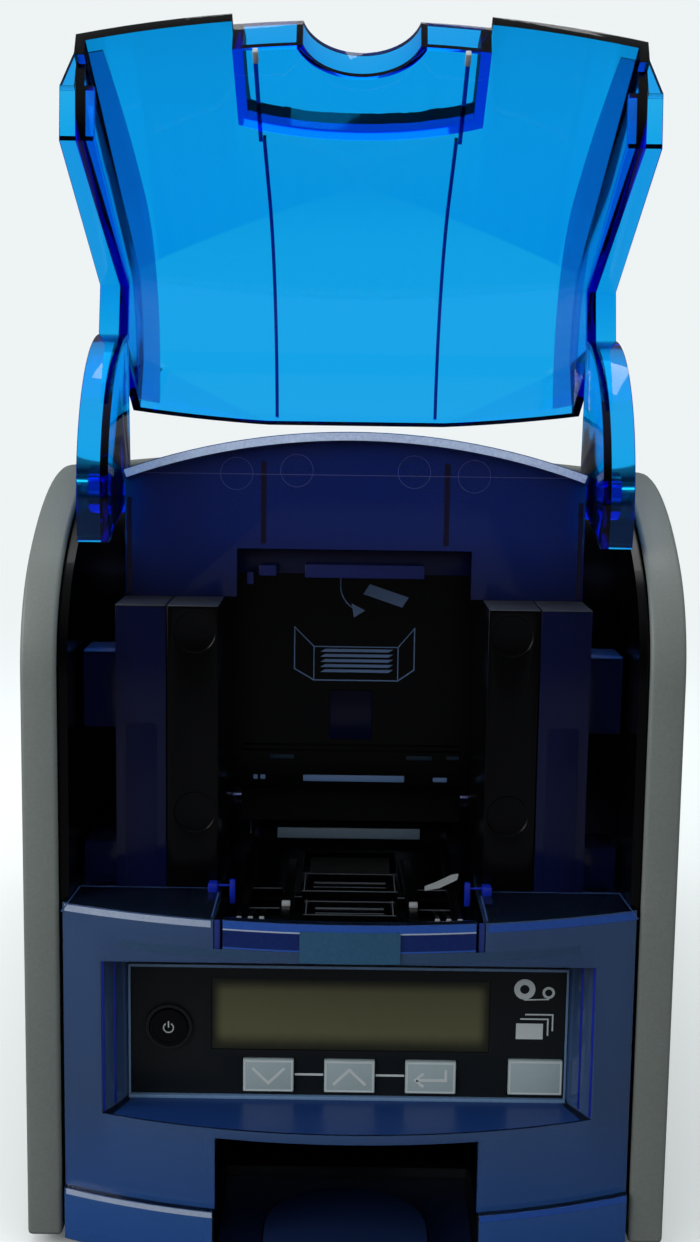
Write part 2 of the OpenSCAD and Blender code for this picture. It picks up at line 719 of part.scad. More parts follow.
module cover_arm_left() mirror([1, 0, 0]) cover_arm();
module cover_arm_right() cover_arm();

module cover_hinge_pins() color([0.80, 0.81, 0.83]) both()
    bar_x(lid_wall_x - shell, panel_in, hinge_u, hinge_z, hinge_pin_r);

top_x = wall_in - gap;
module top_cover() color([0.10, 0.16, 0.50]) {
    intersection() {
        difference() {
            roof_body(0, split_u, rear_u);
            roof_body(-shell, split_u - 1, rear_u - shell);
        }
        block(-top_x, top_x, split_u, rear_u, cover_hinge_z - 6, body_h + 1);
    }
    both() difference() {
        intersection() {
            block(top_x - 4, top_x, cover_hinge_u - 6, rear_u - 1, cover_hinge_z - 5, body_h);
            roof_body(-shell / 2, split_u, rear_u);
        }
        bar_x(top_x - 5, top_x + 1, cover_hinge_u, cover_hinge_z, cover_pin_r + running);
    }
}

module top_cover_pins() color([0.80, 0.81, 0.83]) both()
    bar_x(top_x - 5, panel_in, cover_hinge_u, cover_hinge_z, cover_pin_r);

// Print engine

feed_u = 105;
eject_u = back_wall_u - 70;
platen_u = (feed_u + eject_u) / 2;
roller_z = path_z - roller_r;
idler_z = path_z + card_t + gap + idler_r;
idler_shaft_r = 2;
takeup_u = platen_u - 60;
supply_u = platen_u + 62;
spool_z = path_z + 41;
spool_shaft_r = 4;
head_u = platen_u + 32;
head_z = path_z + 34;
motor_u = platen_u + 48;
motor_z = path_z - 42;
plate_top = spool_z + 23;
engine_u = [92, back_wall_u - 25];
bush_r = shaft_r + 2;
belt_x = engine_x + engine_t + 2.5;
roller_x = 30;
shaft_places = [[pick_u, pick_z], [feed_u, roller_z], [platen_u, roller_z], [eject_u, roller_z]];

module engine_plate() color([0.70, 0.71, 0.73]) difference() {
    slab(engine_x, engine_x + engine_t) polygon([[52, tray_z - 26], [52, tray_z], [engine_u[0], tray_z],
        [engine_u[0], plate_top], [engine_u[1], plate_top], [engine_u[1], floor_z], [engine_u[0], floor_z],
        [engine_u[0], tray_z - 26]]);
    for (c = shaft_places) bar_x(engine_x - 1, engine_x + engine_t + 1, c[0], c[1], bush_r);
    for (u = [feed_u, eject_u]) bar_x(engine_x - 1, engine_x + engine_t + 1, u, idler_z, idler_shaft_r + running);
    for (u = [takeup_u, supply_u])
        bar_x(engine_x - 1, engine_x + engine_t + 1, u, spool_z, spool_shaft_r + running);
    bar_x(engine_x - 1, engine_x + engine_t + 1, head_u, head_z, shaft_r);
    bar_x(engine_x - 1, engine_x + engine_t + 1, motor_u, motor_z, 6);
}
module engine_plate_left() mirror([1, 0, 0]) engine_plate();
module engine_plate_right() engine_plate();

tie_z = 50;
module engine_ties() color([0.72, 0.73, 0.75])
    for (c = [[engine_u[0] + 8, tie_z], [engine_u[1] - 10, tie_z], [engine_u[1] - 10, plate_top - 8]])
        bar_x(-engine_x, engine_x, c[0], c[1], 4);

module shaft_bushes() color([0.80, 0.62, 0.30]) both() for (c = shaft_places) difference() {
    union() {
        bar_x(engine_x - 1, engine_x + engine_t, c[0], c[1], bush_r);
        bar_x(engine_x + engine_t, engine_x + engine_t + 1, c[0], c[1], bush_r + 2);
    }
    bar_x(engine_x - 2, engine_x + engine_t + 2, c[0], c[1], shaft_r + running);
}

// A driven roller: a sleeve, its shaft and the belt pulley on the shaft's right end
module driven_roller(u, z, r, half) {
    color([0.12, 0.12, 0.12]) difference() {
        bar_x(-half, half, u, z, r);
        bar_x(-half - 1, half + 1, u, z, shaft_r);
    }
    color([0.75, 0.76, 0.78]) bar_x(-belt_x, belt_x + belt_w + 1, u, z, shaft_r);
    color([0.85, 0.85, 0.82]) difference() {
        bar_x(belt_x, belt_x + belt_w, u, z, pulley_r);
        bar_x(belt_x - 1, belt_x + belt_w + 1, u, z, shaft_r);
    }
}
module pick_roller() driven_roller(pick_u, pick_z, pick_r, 12);
module feed_roller() driven_roller(feed_u, roller_z, roller_r, roller_x);
module platen_roller() driven_roller(platen_u, roller_z, roller_r, roller_x);
module eject_roller() driven_roller(eject_u, roller_z, roller_r, roller_x);

module idler(u) color([0.78, 0.79, 0.80]) {
    bar_x(-roller_x, roller_x, u, idler_z, idler_r);
    bar_x(-belt_x, belt_x, u, idler_z, idler_shaft_r);
}
module feed_idler() idler(feed_u);
module eject_idler() idler(eject_u);

module drive_motor() color([0.20, 0.20, 0.22]) {
    block(engine_x - 34, engine_x, motor_u - motor_w / 2, motor_u + motor_w / 2, motor_z - motor_w / 2,
        motor_z + motor_w / 2);
    bar_x(engine_x - eps, belt_x + belt_w + 2, motor_u, motor_z, 2.5);
}

module motor_pulley() color([0.85, 0.75, 0.40]) difference() {
    bar_x(belt_x, belt_x + belt_w, motor_u, motor_z, pinion_r);
    bar_x(belt_x - 1, belt_x + belt_w + 1, motor_u, motor_z, 2.5 + running);
}

// The belt's path runs round every pulley
module belt_path(out) hull() {
    for (c = shaft_places) translate(c) circle(pulley_r + out);
    translate([motor_u, motor_z]) circle(pinion_r + out);
}
module drive_belt() color([0.08, 0.08, 0.08]) slab(belt_x, belt_x + belt_w) difference() {
    belt_path(gap + belt_t);
    belt_path(gap);
}

module spool(u) color([0.20, 0.20, 0.24]) {
    bar_x(-roller_x, roller_x, u, spool_z, ribbon_r);
    both() bar_x(roller_x - eps, roller_x + 2, u, spool_z, ribbon_r + 2);
    bar_x(-belt_x, belt_x, u, spool_z, spool_shaft_r);
}
module supply_spool() spool(supply_u);
module takeup_spool() spool(takeup_u);

// The ribbon runs from roll to roll under the print head
film_t = 0.3;
film_z = path_z + card_t + 0.1;
film_a = 35;
film_x = roller_x - 3;
module ribbon_film() color([0.30, 0.10, 0.25]) slab(-film_x, film_x) polygon([
    [takeup_u + (ribbon_r + gap) * cos(film_a), spool_z - (ribbon_r + gap) * sin(film_a)],
    [platen_u - 6, film_z], [platen_u + 6, film_z],
    [supply_u - (ribbon_r + gap) * cos(film_a), spool_z - (ribbon_r + gap) * sin(film_a)],
    [supply_u - (ribbon_r + gap) * cos(film_a) - 0.2, spool_z - (ribbon_r + gap) * sin(film_a) + film_t],
    [platen_u + 5.8, film_z + film_t], [platen_u - 5.8, film_z + film_t],
    [takeup_u + (ribbon_r + gap) * cos(film_a) + 0.2, spool_z - (ribbon_r + gap) * sin(film_a) + film_t]]);

head_z0 = film_z + film_t + gap;
head_top = head_z0 + 12;
module print_head() color([0.82, 0.82, 0.80])
    block(-roller_x, roller_x, platen_u - 5.5, platen_u + 5.5, head_z0, head_top);

// A plate over the head, a flat arm and a sleeve that turns on the head's shaft
module head_arm() color([0.15, 0.15, 0.17]) difference() {
    union() {
        block(-roller_x, roller_x, platen_u - 6, platen_u + 6, head_top, head_top + 3);
        slab(-roller_x, roller_x) polygon([[platen_u + 5, head_top], [head_u, head_z - 4], [head_u, head_z + 4],
            [platen_u + 5, head_top + 3]]);
        bar_x(-roller_x - 4, roller_x + 4, head_u, head_z, shaft_r + 3);
    }
    bar_x(-roller_x - 5, roller_x + 5, head_u, head_z, shaft_r + running);
}

module head_shaft() color([0.75, 0.76, 0.78])
    bar_x(-engine_x - engine_t, engine_x + engine_t, head_u, head_z, shaft_r);

// Electronics

board_x = -wall_in + 3;
board_u0 = 120;
board_top = 112;
chip_u = board_u0 + 20;
module main_board() color([0.05, 0.32, 0.16]) {
    block(board_x, port_x, board_u0, back_wall_u - 1, usb_z - 12, board_top);
    for (u = [board_u0 + 10, back_wall_u - 30], z = [usb_z - 6, board_top - 6])
        bar_x(-wall_in, board_x + eps, u, z, 3);
    for (i = [0:3]) block(port_x - eps, port_x + 3 + i, chip_u + 38 * i, chip_u + 20 + 38 * i, 60, 84);
    for (i = [0:4]) bar_x(port_x - eps, port_x + 12, chip_u + 16 * i, usb_z - 4, 5);
}

module usb_port() color([0.75, 0.76, 0.78]) difference() {
    block(port_x, port_x + 12, back_wall_u - 14, end_u, usb_z - 5.5, usb_z + 5.5);
    block(port_x + 1.5, port_x + 10.5, back_wall_u - 8, end_u + 1, usb_z - 4.3, usb_z + 4.3);
}

module network_port() color([0.70, 0.71, 0.73]) difference() {
    block(port_x, port_x + 13.5, back_wall_u - 16, end_u, net_z - 7.5, net_z + 7.5);
    block(port_x + 1.2, port_x + 12.3, back_wall_u - 12, end_u + 1, net_z - 5.5, net_z + 5);
}

module power_supply() color([0.66, 0.67, 0.69])
    block(belt_x + belt_w + 4, wall_in, board_u0 + 10, back_wall_u - 50, floor_z, floor_z + 70);

module power_inlet() color([0.04, 0.04, 0.05]) {
    difference() {
        union() {
            block(inlet_x - 7.5, inlet_x + 7.5, back_wall_u - 16, end_u + eps, inlet_z - 7.5, inlet_z + 7.5);
            block(inlet_x - 10, inlet_x + 10, end_u, rear_u, inlet_z - 10, inlet_z + 10);
        }
        block(inlet_x - 5.5, inlet_x + 5.5, back_wall_u - 13, rear_u + 1, inlet_z - 5.5, inlet_z + 5.5);
    }
    for (i = [-1:1]) bar_y(inlet_x + 3 * i, inlet_z + (i == 0 ? 2 : -1), back_wall_u - 13 - eps, back_wall_u - 2, 0.9);
}

fan_u = back_wall_u - 11;
module fan_frame() color([0.06, 0.06, 0.07]) {
    difference() {
        block(-fan_w / 2, fan_w / 2, fan_u, back_wall_u, fan_z - fan_w / 2, fan_z + fan_w / 2);
        bar_y(0, fan_z, fan_u - 1, back_wall_u + 1, fan_w / 2 - 2);
    }
    for (a = [0, 90]) translate([0, face_y + fan_u, fan_z]) rotate([0, a, 0])
        translate([-fan_w / 2 + 1, 0, -1.5]) cube([fan_w - 2, 1.5, 3]);
    bar_y(0, fan_z, fan_u, back_wall_u - 2, 1.5);
}

module fan_rotor() color([0.10, 0.10, 0.11]) difference() {
    union() {
        bar_y(0, fan_z, fan_u + 2.2, back_wall_u - 1.5, 7);
        for (i = [0:6]) translate([0, face_y + fan_u + 5.5, fan_z]) rotate([0, i * 360 / 7, 0])
            rotate([0, 0, 0]) translate([5, -0.6, -3]) rotate([25, 0, 0]) cube([fan_w / 2 - 7.6, 1.2, 7]);
    }
    bar_y(0, fan_z, fan_u, back_wall_u, 1.5 + running);
}

base_pan();
feet();
side_panel_left();
side_panel_right();
inner_wall_left();
inner_wall_right();
rear_panel();
front_bezel();
output_tray();
output_chute();
display_plate();
display_window();
display_module();
display_board();
key_down();
key_up();
key_enter();
key_user();
power_button();
power_ring();
hopper_frame();
hopper_roof();
card_guide_left();
card_guide_right();
hopper_back();
feed_gate();
card_tray();
cover_panel();
cover_arm_left();
cover_arm_right();
cover_hinge_pins();
top_cover();
top_cover_pins();
engine_plate_left();
engine_plate_right();
engine_ties();
pick_roller();
feed_roller();
platen_roller();
eject_roller();
feed_idler();
eject_idler();
shaft_bushes();
drive_motor();
motor_pulley();
drive_belt();
supply_spool();
takeup_spool();
ribbon_film();
print_head();
head_arm();
head_shaft();
main_board();
power_supply();
fan_frame();
fan_rotor();
usb_port();
network_port();
power_inlet();
rear_screws();
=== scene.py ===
"""Looks of a desktop card printer whose see-through front cover is swung open.

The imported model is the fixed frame. Lengths are written in millimetres and turned to metres
by one function. Depths are counted from the side panels' front edges towards the back.
"""

import json
import logging
import math
from collections.abc import Callable
from dataclasses import dataclass, field
from enum import Enum

import bmesh
import bpy
from mathutils import Euler, Matrix, Vector


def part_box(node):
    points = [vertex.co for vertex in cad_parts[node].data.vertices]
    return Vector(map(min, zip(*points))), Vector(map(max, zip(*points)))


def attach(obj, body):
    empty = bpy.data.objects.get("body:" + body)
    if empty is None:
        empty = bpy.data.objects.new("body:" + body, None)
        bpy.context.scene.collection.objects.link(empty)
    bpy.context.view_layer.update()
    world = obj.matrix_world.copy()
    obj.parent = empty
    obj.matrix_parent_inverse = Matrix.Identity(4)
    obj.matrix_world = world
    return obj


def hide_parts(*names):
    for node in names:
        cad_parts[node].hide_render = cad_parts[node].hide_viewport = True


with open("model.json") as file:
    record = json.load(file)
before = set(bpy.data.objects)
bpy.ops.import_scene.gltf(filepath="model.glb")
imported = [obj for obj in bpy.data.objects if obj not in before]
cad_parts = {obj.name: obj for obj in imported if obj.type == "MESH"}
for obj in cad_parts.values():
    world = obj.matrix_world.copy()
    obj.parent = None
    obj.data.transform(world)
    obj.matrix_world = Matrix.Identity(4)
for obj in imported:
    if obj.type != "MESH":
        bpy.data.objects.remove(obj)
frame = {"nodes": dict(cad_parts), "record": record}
LOG = logging.getLogger("card_printer")
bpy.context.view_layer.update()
MM = 0.001
FRONT_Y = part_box("side_panel_right")[0].y


def mm(value: float) -> float:
    """Millimetres as metres."""
    return value * MM


def place(x: float, depth: float, z: float) -> Vector:
    """The frame's point for a width, a depth behind the panels' front edges and a height.

    Args:
        x: Distance to the right of the middle, in millimetres.
        depth: Distance behind the side panels' front edges, in millimetres.
        z: Height over the table, in millimetres.

    Returns:
        The point in metres.
    """
    return Vector((mm(x), FRONT_Y + mm(depth), mm(z)))


def linear(code: str) -> tuple[float, float, float, float]:
    """An sRGB hex colour as the linear colour that shaders take.

    Args:
        code: Six hex digits, such as "7C7F7A".

    Returns:
        Red, green, blue and an alpha of one.
    """
    parts = [int(code[i : i + 2], 16) / 255 for i in (0, 2, 4)]
    turned = [p / 12.92 if p <= 0.04045 else ((p + 0.055) / 1.055) ** 2.4 for p in parts]
    return (*turned, 1.0)


def add_node(material: bpy.types.Material | bpy.types.World, kind: str, settings: dict | None = None, **inputs: object) -> bpy.types.Node:
    """Adds a shader node with its settings and its sockets' values or links.

    Args:
        material: The material or world whose tree takes the node.
        kind: The node's type, without the "ShaderNode" in front.
        settings: Attributes of the node itself.
        **inputs: A socket's name, with _ for a blank, and its value or the socket to link from.

    Returns:
        The new node.
    """
    tree = material.node_tree
    node = tree.nodes.new("ShaderNode" + kind)
    for name, value in (settings or {}).items():
        setattr(node, name, value)
    for name, value in inputs.items():
        socket = node.inputs[int(name[1:])] if name[1:].isdigit() else node.inputs[name.replace("_", " ")]
        if isinstance(value, bpy.types.NodeSocket):
            tree.links.new(value, socket)
        else:
            socket.default_value = value
    return node


def blank_material(name: str) -> bpy.types.Material:
    """A material with an empty node tree."""
    material = bpy.data.materials.new(name)
    material.use_nodes = True
    material.node_tree.nodes.clear()
    return material


Pair = tuple[float, float]


@dataclass(frozen=True)
class MouldedPlastic:
    """Opaque injection-moulded ABS, with the fine grain of an eroded mould.

    The grain breaks highlights up, and a slow change of tone keeps large walls from looking flat.
    """

    name: str
    colour: str
    shade: str
    roughness: float = 0.45
    grain_mm: float = 0.5
    grain_depth: float = 0.15
    specular: float = 0.5

    def build(self) -> bpy.types.Material:
        """Builds the material.

        Returns:
            The finished material.
        """
        material = blank_material(self.name)
        where = add_node(material, "TexCoord").outputs["Object"]
        grain = add_node(material, "TexNoise", Vector=where, Scale=1000 / self.grain_mm, Detail=2.0)
        slow = add_node(material, "TexNoise", Vector=where, Scale=18.0, Detail=3.0)
        both = add_node(material, "Mix", {"data_type": "FLOAT"}, Factor=0.6, _2=slow.outputs["Fac"], _3=grain.outputs["Fac"])
        ramp = add_node(material, "ValToRGB", Fac=both.outputs[0])
        ramp.color_ramp.elements[0].position = 0.3
        ramp.color_ramp.elements[1].position = 0.7
        ramp.color_ramp.elements[0].color = linear(self.shade)
        ramp.color_ramp.elements[1].color = linear(self.colour)
        rough = add_node(material, "MapRange", Value=slow.outputs["Fac"], To_Min=self.roughness - 0.06, To_Max=self.roughness + 0.06)
        bump = add_node(material, "Bump", Strength=self.grain_depth, Distance=mm(0.1), Height=grain.outputs["Fac"])
        shader = add_node(
            material, "BsdfPrincipled", Base_Color=ramp.outputs["Color"], Roughness=rough.outputs["Result"], Normal=bump.outputs["Normal"]
        )
        shader.inputs["IOR"].default_value = 1.53
        shader.inputs["Specular IOR Level"].default_value = self.specular
        add_node(material, "OutputMaterial", Surface=shader.outputs["BSDF"])
        return material


@dataclass(frozen=True)
class LcdGlass:
    """A resting liquid-crystal display behind acrylic: olive, and shaded by its frame along the edges."""

    name: str
    lit: str
    shaded: str

    def build(self) -> bpy.types.Material:
        """Builds the material.

        Returns:
            The finished material.
        """
        material = blank_material(self.name)
        where = add_node(material, "TexCoord").outputs["Object"]
        across = add_node(material, "SeparateXYZ", Vector=where).outputs
        low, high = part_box("display_window")
        light = None
        for axis, start, depth_mm in (("Z", high.z, -4.0), ("Z", low.z, 5.5), ("X", low.x, 3.5), ("X", high.x, -3.5)):
            edge = add_node(
                material, "MapRange", {"interpolation_type": "SMOOTHSTEP"}, Value=across[axis], From_Min=start, From_Max=start + mm(depth_mm)
            ).outputs["Result"]
            light = edge if light is None else add_node(material, "Math", {"operation": "MULTIPLY"}, _0=light, _1=edge).outputs[0]
        grain = add_node(material, "TexNoise", Vector=where, Scale=300.0, Detail=3.0)
        uneven = add_node(material, "Math", {"operation": "MULTIPLY_ADD"}, _0=grain.outputs["Fac"], _1=0.16, _2=-0.08)
        total = add_node(material, "Math", {"operation": "ADD"}, _0=light, _1=uneven.outputs[0])
        ramp = add_node(material, "ValToRGB", Fac=total.outputs[0])
        ramp.color_ramp.elements[0].color = linear(self.shaded)
        ramp.color_ramp.elements[1].color = linear(self.lit)
        shader = add_node(material, "BsdfPrincipled", Base_Color=ramp.outputs["Color"])
        shader.inputs["Roughness"].default_value = 0.12
        shader.inputs["Specular IOR Level"].default_value = 0.3
        add_node(material, "OutputMaterial", Surface=shader.outputs["BSDF"])
        return material


@dataclass(frozen=True)
class DyedClearPlastic:
    """Clear ABS dyed blue. Its colour deepens with the thickness that light crosses.

    Fine scuffs make the upright faces milky, while the faces that lie flat stay clear.
    """

    name: str
    dye: str
    depth_mm: float
    roughness: float = 0.06
    haze: float = 0.0
    haze_colour: str = "1E3C8C"
    flat_haze: float = 0.0
    low_colour: str = ""
    low_z: Pair = (0.0, 0.0)

    def build(self) -> bpy.types.Material:
        """Builds the material.

        Returns:
            The finished material.
        """
        material = blank_material(self.name)
        where = add_node(material, "TexCoord").outputs["Object"]
        slow = add_node(material, "TexNoise", Vector=where, Scale=40.0, Detail=4.0)
        rough = add_node(material, "MapRange", Value=slow.outputs["Fac"], To_Min=self.roughness * 0.7, To_Max=self.roughness * 1.4)
        shader = add_node(material, "BsdfPrincipled", Roughness=rough.outputs["Result"])
        shader.inputs["Base Color"].default_value = (1, 1, 1, 1)
        shader.inputs["Transmission Weight"].default_value = 1.0
        shader.inputs["IOR"].default_value = 1.49
        surface = shader.outputs["BSDF"]
        if self.haze:
            normal = add_node(material, "SeparateXYZ", Vector=add_node(material, "NewGeometry").outputs["Normal"]).outputs
            flat = add_node(material, "Math", {"operation": "ABSOLUTE"}, _0=normal["Z"])
            milk = add_node(
                material, "MapRange", Value=flat.outputs[0], From_Min=0.5, From_Max=0.95, To_Min=self.haze, To_Max=self.flat_haze
            )
            dull = add_node(material, "BsdfPrincipled", Base_Color=linear(self.haze_colour), Roughness=rough.outputs["Result"])
            # Painted light and shade: the hazy colour shifts with height, from low_colour below low_z to haze_colour
            # above it.
            if self.low_colour:
                height = add_node(material, "SeparateXYZ", Vector=where).outputs["Z"]
                rise = add_node(material, "MapRange", Value=height, From_Min=mm(self.low_z[0]), From_Max=mm(self.low_z[1]))
                tone = add_node(material, "ValToRGB", Fac=rise.outputs["Result"])
                tone.color_ramp.elements[0].color = linear(self.low_colour)
                tone.color_ramp.elements[1].color = linear(self.haze_colour)
                material.node_tree.links.new(tone.outputs["Color"], dull.inputs["Base Color"])
            dull.inputs["IOR"].default_value = 1.49
            mixed = add_node(material, "MixShader", Fac=milk.outputs["Result"], _1=surface, _2=dull.outputs["BSDF"])
            surface = mixed.outputs["Shader"]
        volume = add_node(material, "VolumeAbsorption", Color=linear(self.dye), Density=1000 / self.depth_mm)
        add_node(material, "OutputMaterial", Surface=surface, Volume=volume.outputs["Volume"])
        return material


@dataclass(frozen=True)
class PlatedSteel:
    """Sheet steel or ground bar with a fine drawn grain."""

    name: str
    colour: str
    roughness: float = 0.35
    grain_mm: float = 0.4

    def build(self) -> bpy.types.Material:
        """Builds the material.

        Returns:
            The finished material.
        """
        material = blank_material(self.name)
        where = add_node(material, "TexCoord").outputs["Object"]
        turned = add_node(material, "Mapping", Vector=where, Scale=(0.05, 1.0, 1.0))
        grain = add_node(material, "TexNoise", Vector=turned.outputs["Vector"], Scale=1000 / self.grain_mm, Detail=2.0)
        rough = add_node(material, "MapRange", Value=grain.outputs["Fac"], To_Min=self.roughness - 0.08, To_Max=self.roughness + 0.1)
        bump = add_node(material, "Bump", Strength=0.1, Distance=mm(0.05), Height=grain.outputs["Fac"])
        shader = add_node(material, "BsdfPrincipled", Roughness=rough.outputs["Result"], Normal=bump.outputs["Normal"])
        shader.inputs["Base Color"].default_value = linear(self.colour)
        shader.inputs["Metallic"].default_value = 1.0
        add_node(material, "OutputMaterial", Surface=shader.outputs["BSDF"])
        return material


class Finish(Enum):
    """The finishes of the printer's pieces: most are named for what the real one is made of, and some for the light or
    shade painted into them.
    """

    GREY_ABS = MouldedPlastic("grained_grey_abs", "656B67", "5C615E", 0.5, 0.6, 0.3)
    BLACK_ABS = MouldedPlastic("black_gloss_abs", "020204", "020202", 0.24, 0.8, 0.04, 0.22)
    SLATE_ABS = MouldedPlastic("slate_satin_plate", "0C1115", "080D10", 0.4, 0.5, 0.15, 0.3)
    KEY_ABS = MouldedPlastic("grey_blue_key_abs", "839195", "7C898E", 0.42, 0.5, 0.1)
    RING_ABS = MouldedPlastic("gloss_ring_abs", "08090C", "050608", 0.12, 0.5, 0.03)
    BOARD = MouldedPlastic("green_circuit_board", "134A29", "0D3A1E", 0.4, 0.8, 0.1)
    RUBBER = MouldedPlastic("black_rubber", "101010", "090909", 0.8, 0.4, 0.4)
    LCD = LcdGlass("olive_lcd_glass", "4A4934", "191B14")
    DARK_PAINT = MouldedPlastic("dark_satin_paint", "3D3F40", "343536", 0.45, 0.5, 0.2)
    CERAMIC = MouldedPlastic("white_ceramic", "999892", "8D8C86", 0.4, 0.5, 0.1)
    RIBBON = MouldedPlastic("ribbon_film_black", "211426", "190D1F", 0.2, 0.6, 0.05)
    TIP_ABS = MouldedPlastic("pale_tip_abs", "828588", "6C6F72", 0.35, 0.5, 0.05)
    STEEL_DIM = MouldedPlastic("dim_blue_slots", "162D3F", "0F2030", 0.3, 0.5, 0.05)
    # Print on the keys and the plate; also painted highlights on the ends of the cover's ribs.
    PALE_PRINT = MouldedPlastic("pale_print_and_highlight", "A1A6A8", "99A1A2", 0.5, 0.5, 0.0)
    KEY_LINE = MouldedPlastic("pale_key_edge", "A3A9AB", "9CA3A5", 0.5, 0.5, 0.0)
    BLUE_PRINT = MouldedPlastic("blue_screen_print", "5D7CA9", "5674A3", 0.5, 0.5, 0.0)
    DUST = MouldedPlastic("dust_in_a_line", "32365F", "262B54", 0.7, 0.5, 0.0)
    CAP_DUST = MouldedPlastic("grey_column_cap", "32353F", "1F222A", 0.6, 0.5, 0.1)
    COLUMN_BLUE = MouldedPlastic("column_blue", "04092A", "030724", 0.25, 0.8, 0.03, 0.3)
    RIM_PALE = MouldedPlastic("lit_roof_rim", "A8B8D4", "8894B4", 0.4, 0.8, 0.05)
    EDGE_PALE = MouldedPlastic("lit_edge_pale", "8C95A6", "76829C", 0.3, 0.8, 0.03)
    # Painted highlight along the ledge's back and side edges.
    EDGE_DIM = MouldedPlastic("dim_ledge_highlight", "324876", "283D6B", 0.25, 0.8, 0.03)
    EDGE_BLUE = MouldedPlastic("lit_edge_blue", "1D448D", "16397F", 0.25, 0.8, 0.03)
    LIP_SHADE = MouldedPlastic("lip_shade", "0C1F56", "081844", 0.2, 0.8, 0.03, 0.3)
    GLOW_BLUE = MouldedPlastic("glowing_blue_abs", "0D1F88", "091876", 0.2, 0.8, 0.03)
    TAB_CLEAR = MouldedPlastic("clear_tab", "254862", "1F3F59", 0.25, 0.8, 0.03, 0.3)
    BROW = MouldedPlastic("display_brow", "263D58", "22354F", 0.3, 0.8, 0.03, 0.3)
    # Painted highlight round the display window.
    FRAME_LINE = MouldedPlastic("display_frame_highlight", "567191", "4B6485", 0.3, 0.8, 0.03)
    SILL_BLUE = MouldedPlastic("display_sill", "122D5F", "0D2654", 0.3, 0.8, 0.03, 0.3)
    POST_BLUE = MouldedPlastic("corner_post_blue", "1B2B6B", "14225C", 0.2, 0.8, 0.03)
    CLIP_BLUE = MouldedPlastic("frame_clip_blue", "0F1848", "0B123D", 0.25, 0.8, 0.03, 0.3)
    RIB_SHADE = MouldedPlastic("rib_seen_through", "0F0824", "0B061D", 0.3, 0.8, 0.03, 0.3)
    # Painted shade in the output tray's mouth.
    MOUTH_SHADE = MouldedPlastic("output_mouth_painted_shade", "020307", "020205", 0.3, 0.8, 0.03, 0.25)
    TONGUE = MouldedPlastic("output_tongue_abs", "0C1835", "09142D", 0.3, 0.8, 0.03, 0.3)
    # Painted highlights along the card tray's edges.
    TRAY_EDGE = MouldedPlastic("tray_edge_highlight", "4D5258", "32363D", 0.35, 0.6, 0.05)
    GATE_GREY = MouldedPlastic("feed_gate_abs", "5B6B7B", "51616F", 0.35, 0.6, 0.05)
    SKY_EDGE = DyedClearPlastic("sky_blue_rib", "0050D0", 0.4)
    SKY_BAND = DyedClearPlastic("sky_blue_side_wall", "0070D8", 0.42)
    RIB_CLEAR = DyedClearPlastic("deep_blue_rib", "0018A0", 1.2, 0.1, 0.6, "05083D", 0.6)
    SKY_CLEAR = DyedClearPlastic("sky_blue_dyed_abs", "00EAFD", 0.53, 0.04)
    # NAVY_CLEAR and DEEP_CLEAR shift their hazy colour with height: painted light and shade.
    NAVY_CLEAR = DyedClearPlastic("navy_dyed_abs", "0058C8", 1.6, 0.1, 0.75, "2E4366", 0.06, "204784", (8.0, 44.0))
    DEEP_CLEAR = DyedClearPlastic("deep_blue_dyed_abs", "0030B0", 1.6, 0.12, 0.75, "0B1C58", 0.4, "060B2C", (176.0, 196.0))
    ZINC = PlatedSteel("zinc_plated_steel", "B4B8BC", 0.38)
    POLISHED = PlatedSteel("ground_steel", "C8CACC", 0.2)
    ANODISED = PlatedSteel("anodised_bar", "93A0B0", 0.3)
    BRONZE = PlatedSteel("sintered_bronze", "C09A58", 0.4)

    def material(self) -> bpy.types.Material:
        """The finish's material, built on its first use."""
        return bpy.data.materials.get(self.value.name) or self.value.build()


def link(name: str, mesh: bpy.types.Mesh, finish: Finish, body: str, replaces: tuple[str, ...] = ()) -> bpy.types.Object:
    """Makes an object of a mesh, dresses it and lets it ride on its body.

    Args:
        name: The piece's name.
        mesh: Its mesh, already in place in the frame.
        finish: The finish that it takes.
        body: The body that carries it.
        replaces: CAD nodes that the piece stands for.

    Returns:
        The new object.
    """
    piece = bpy.data.objects.new(name, mesh)
    bpy.context.scene.collection.objects.link(piece)
    mesh.materials.clear()
    mesh.materials.append(finish.material())
    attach(piece, body)
    if replaces:
        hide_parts(*replaces)
    LOG.info("%s rides on %s", name, body)
    return piece


@dataclass(frozen=True)
class Dress:
    """How a node of the frame is finished: its material and how far its edges are rounded."""

    finish: Finish
    rounding: float = 0.0
    segments: int = 3
    sharp_deg: float = 32.0


class Dresser:
    """Gives CAD nodes their finish, and rounds the edges of those that show."""

    def __init__(self, record: dict) -> None:
        """Reads each node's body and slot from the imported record."""
        self.slots = {s["node"]: s["material_slot"] for s in record["subparts"]}
        self.bodies = {n: body for body, nodes in record["behaviour"]["bodies"].items() for n in nodes}

    def dress(self, node: str, how: Dress) -> bpy.types.Object:
        """Finishes one node, as it is or as a copy with rounded edges.

        Args:
            node: The CAD node's name.
            how: Its finish and rounding.

        Returns:
            The object that shows.
        """
        source = frame["nodes"][node]
        if not how.rounding:
            source.data.materials.clear()
            source.data.materials.append(how.finish.material())
            return source
        mesh = rounded_copy(source.data, how)
        return link(node + "_skin", mesh, how.finish, self.bodies[node], (node,))


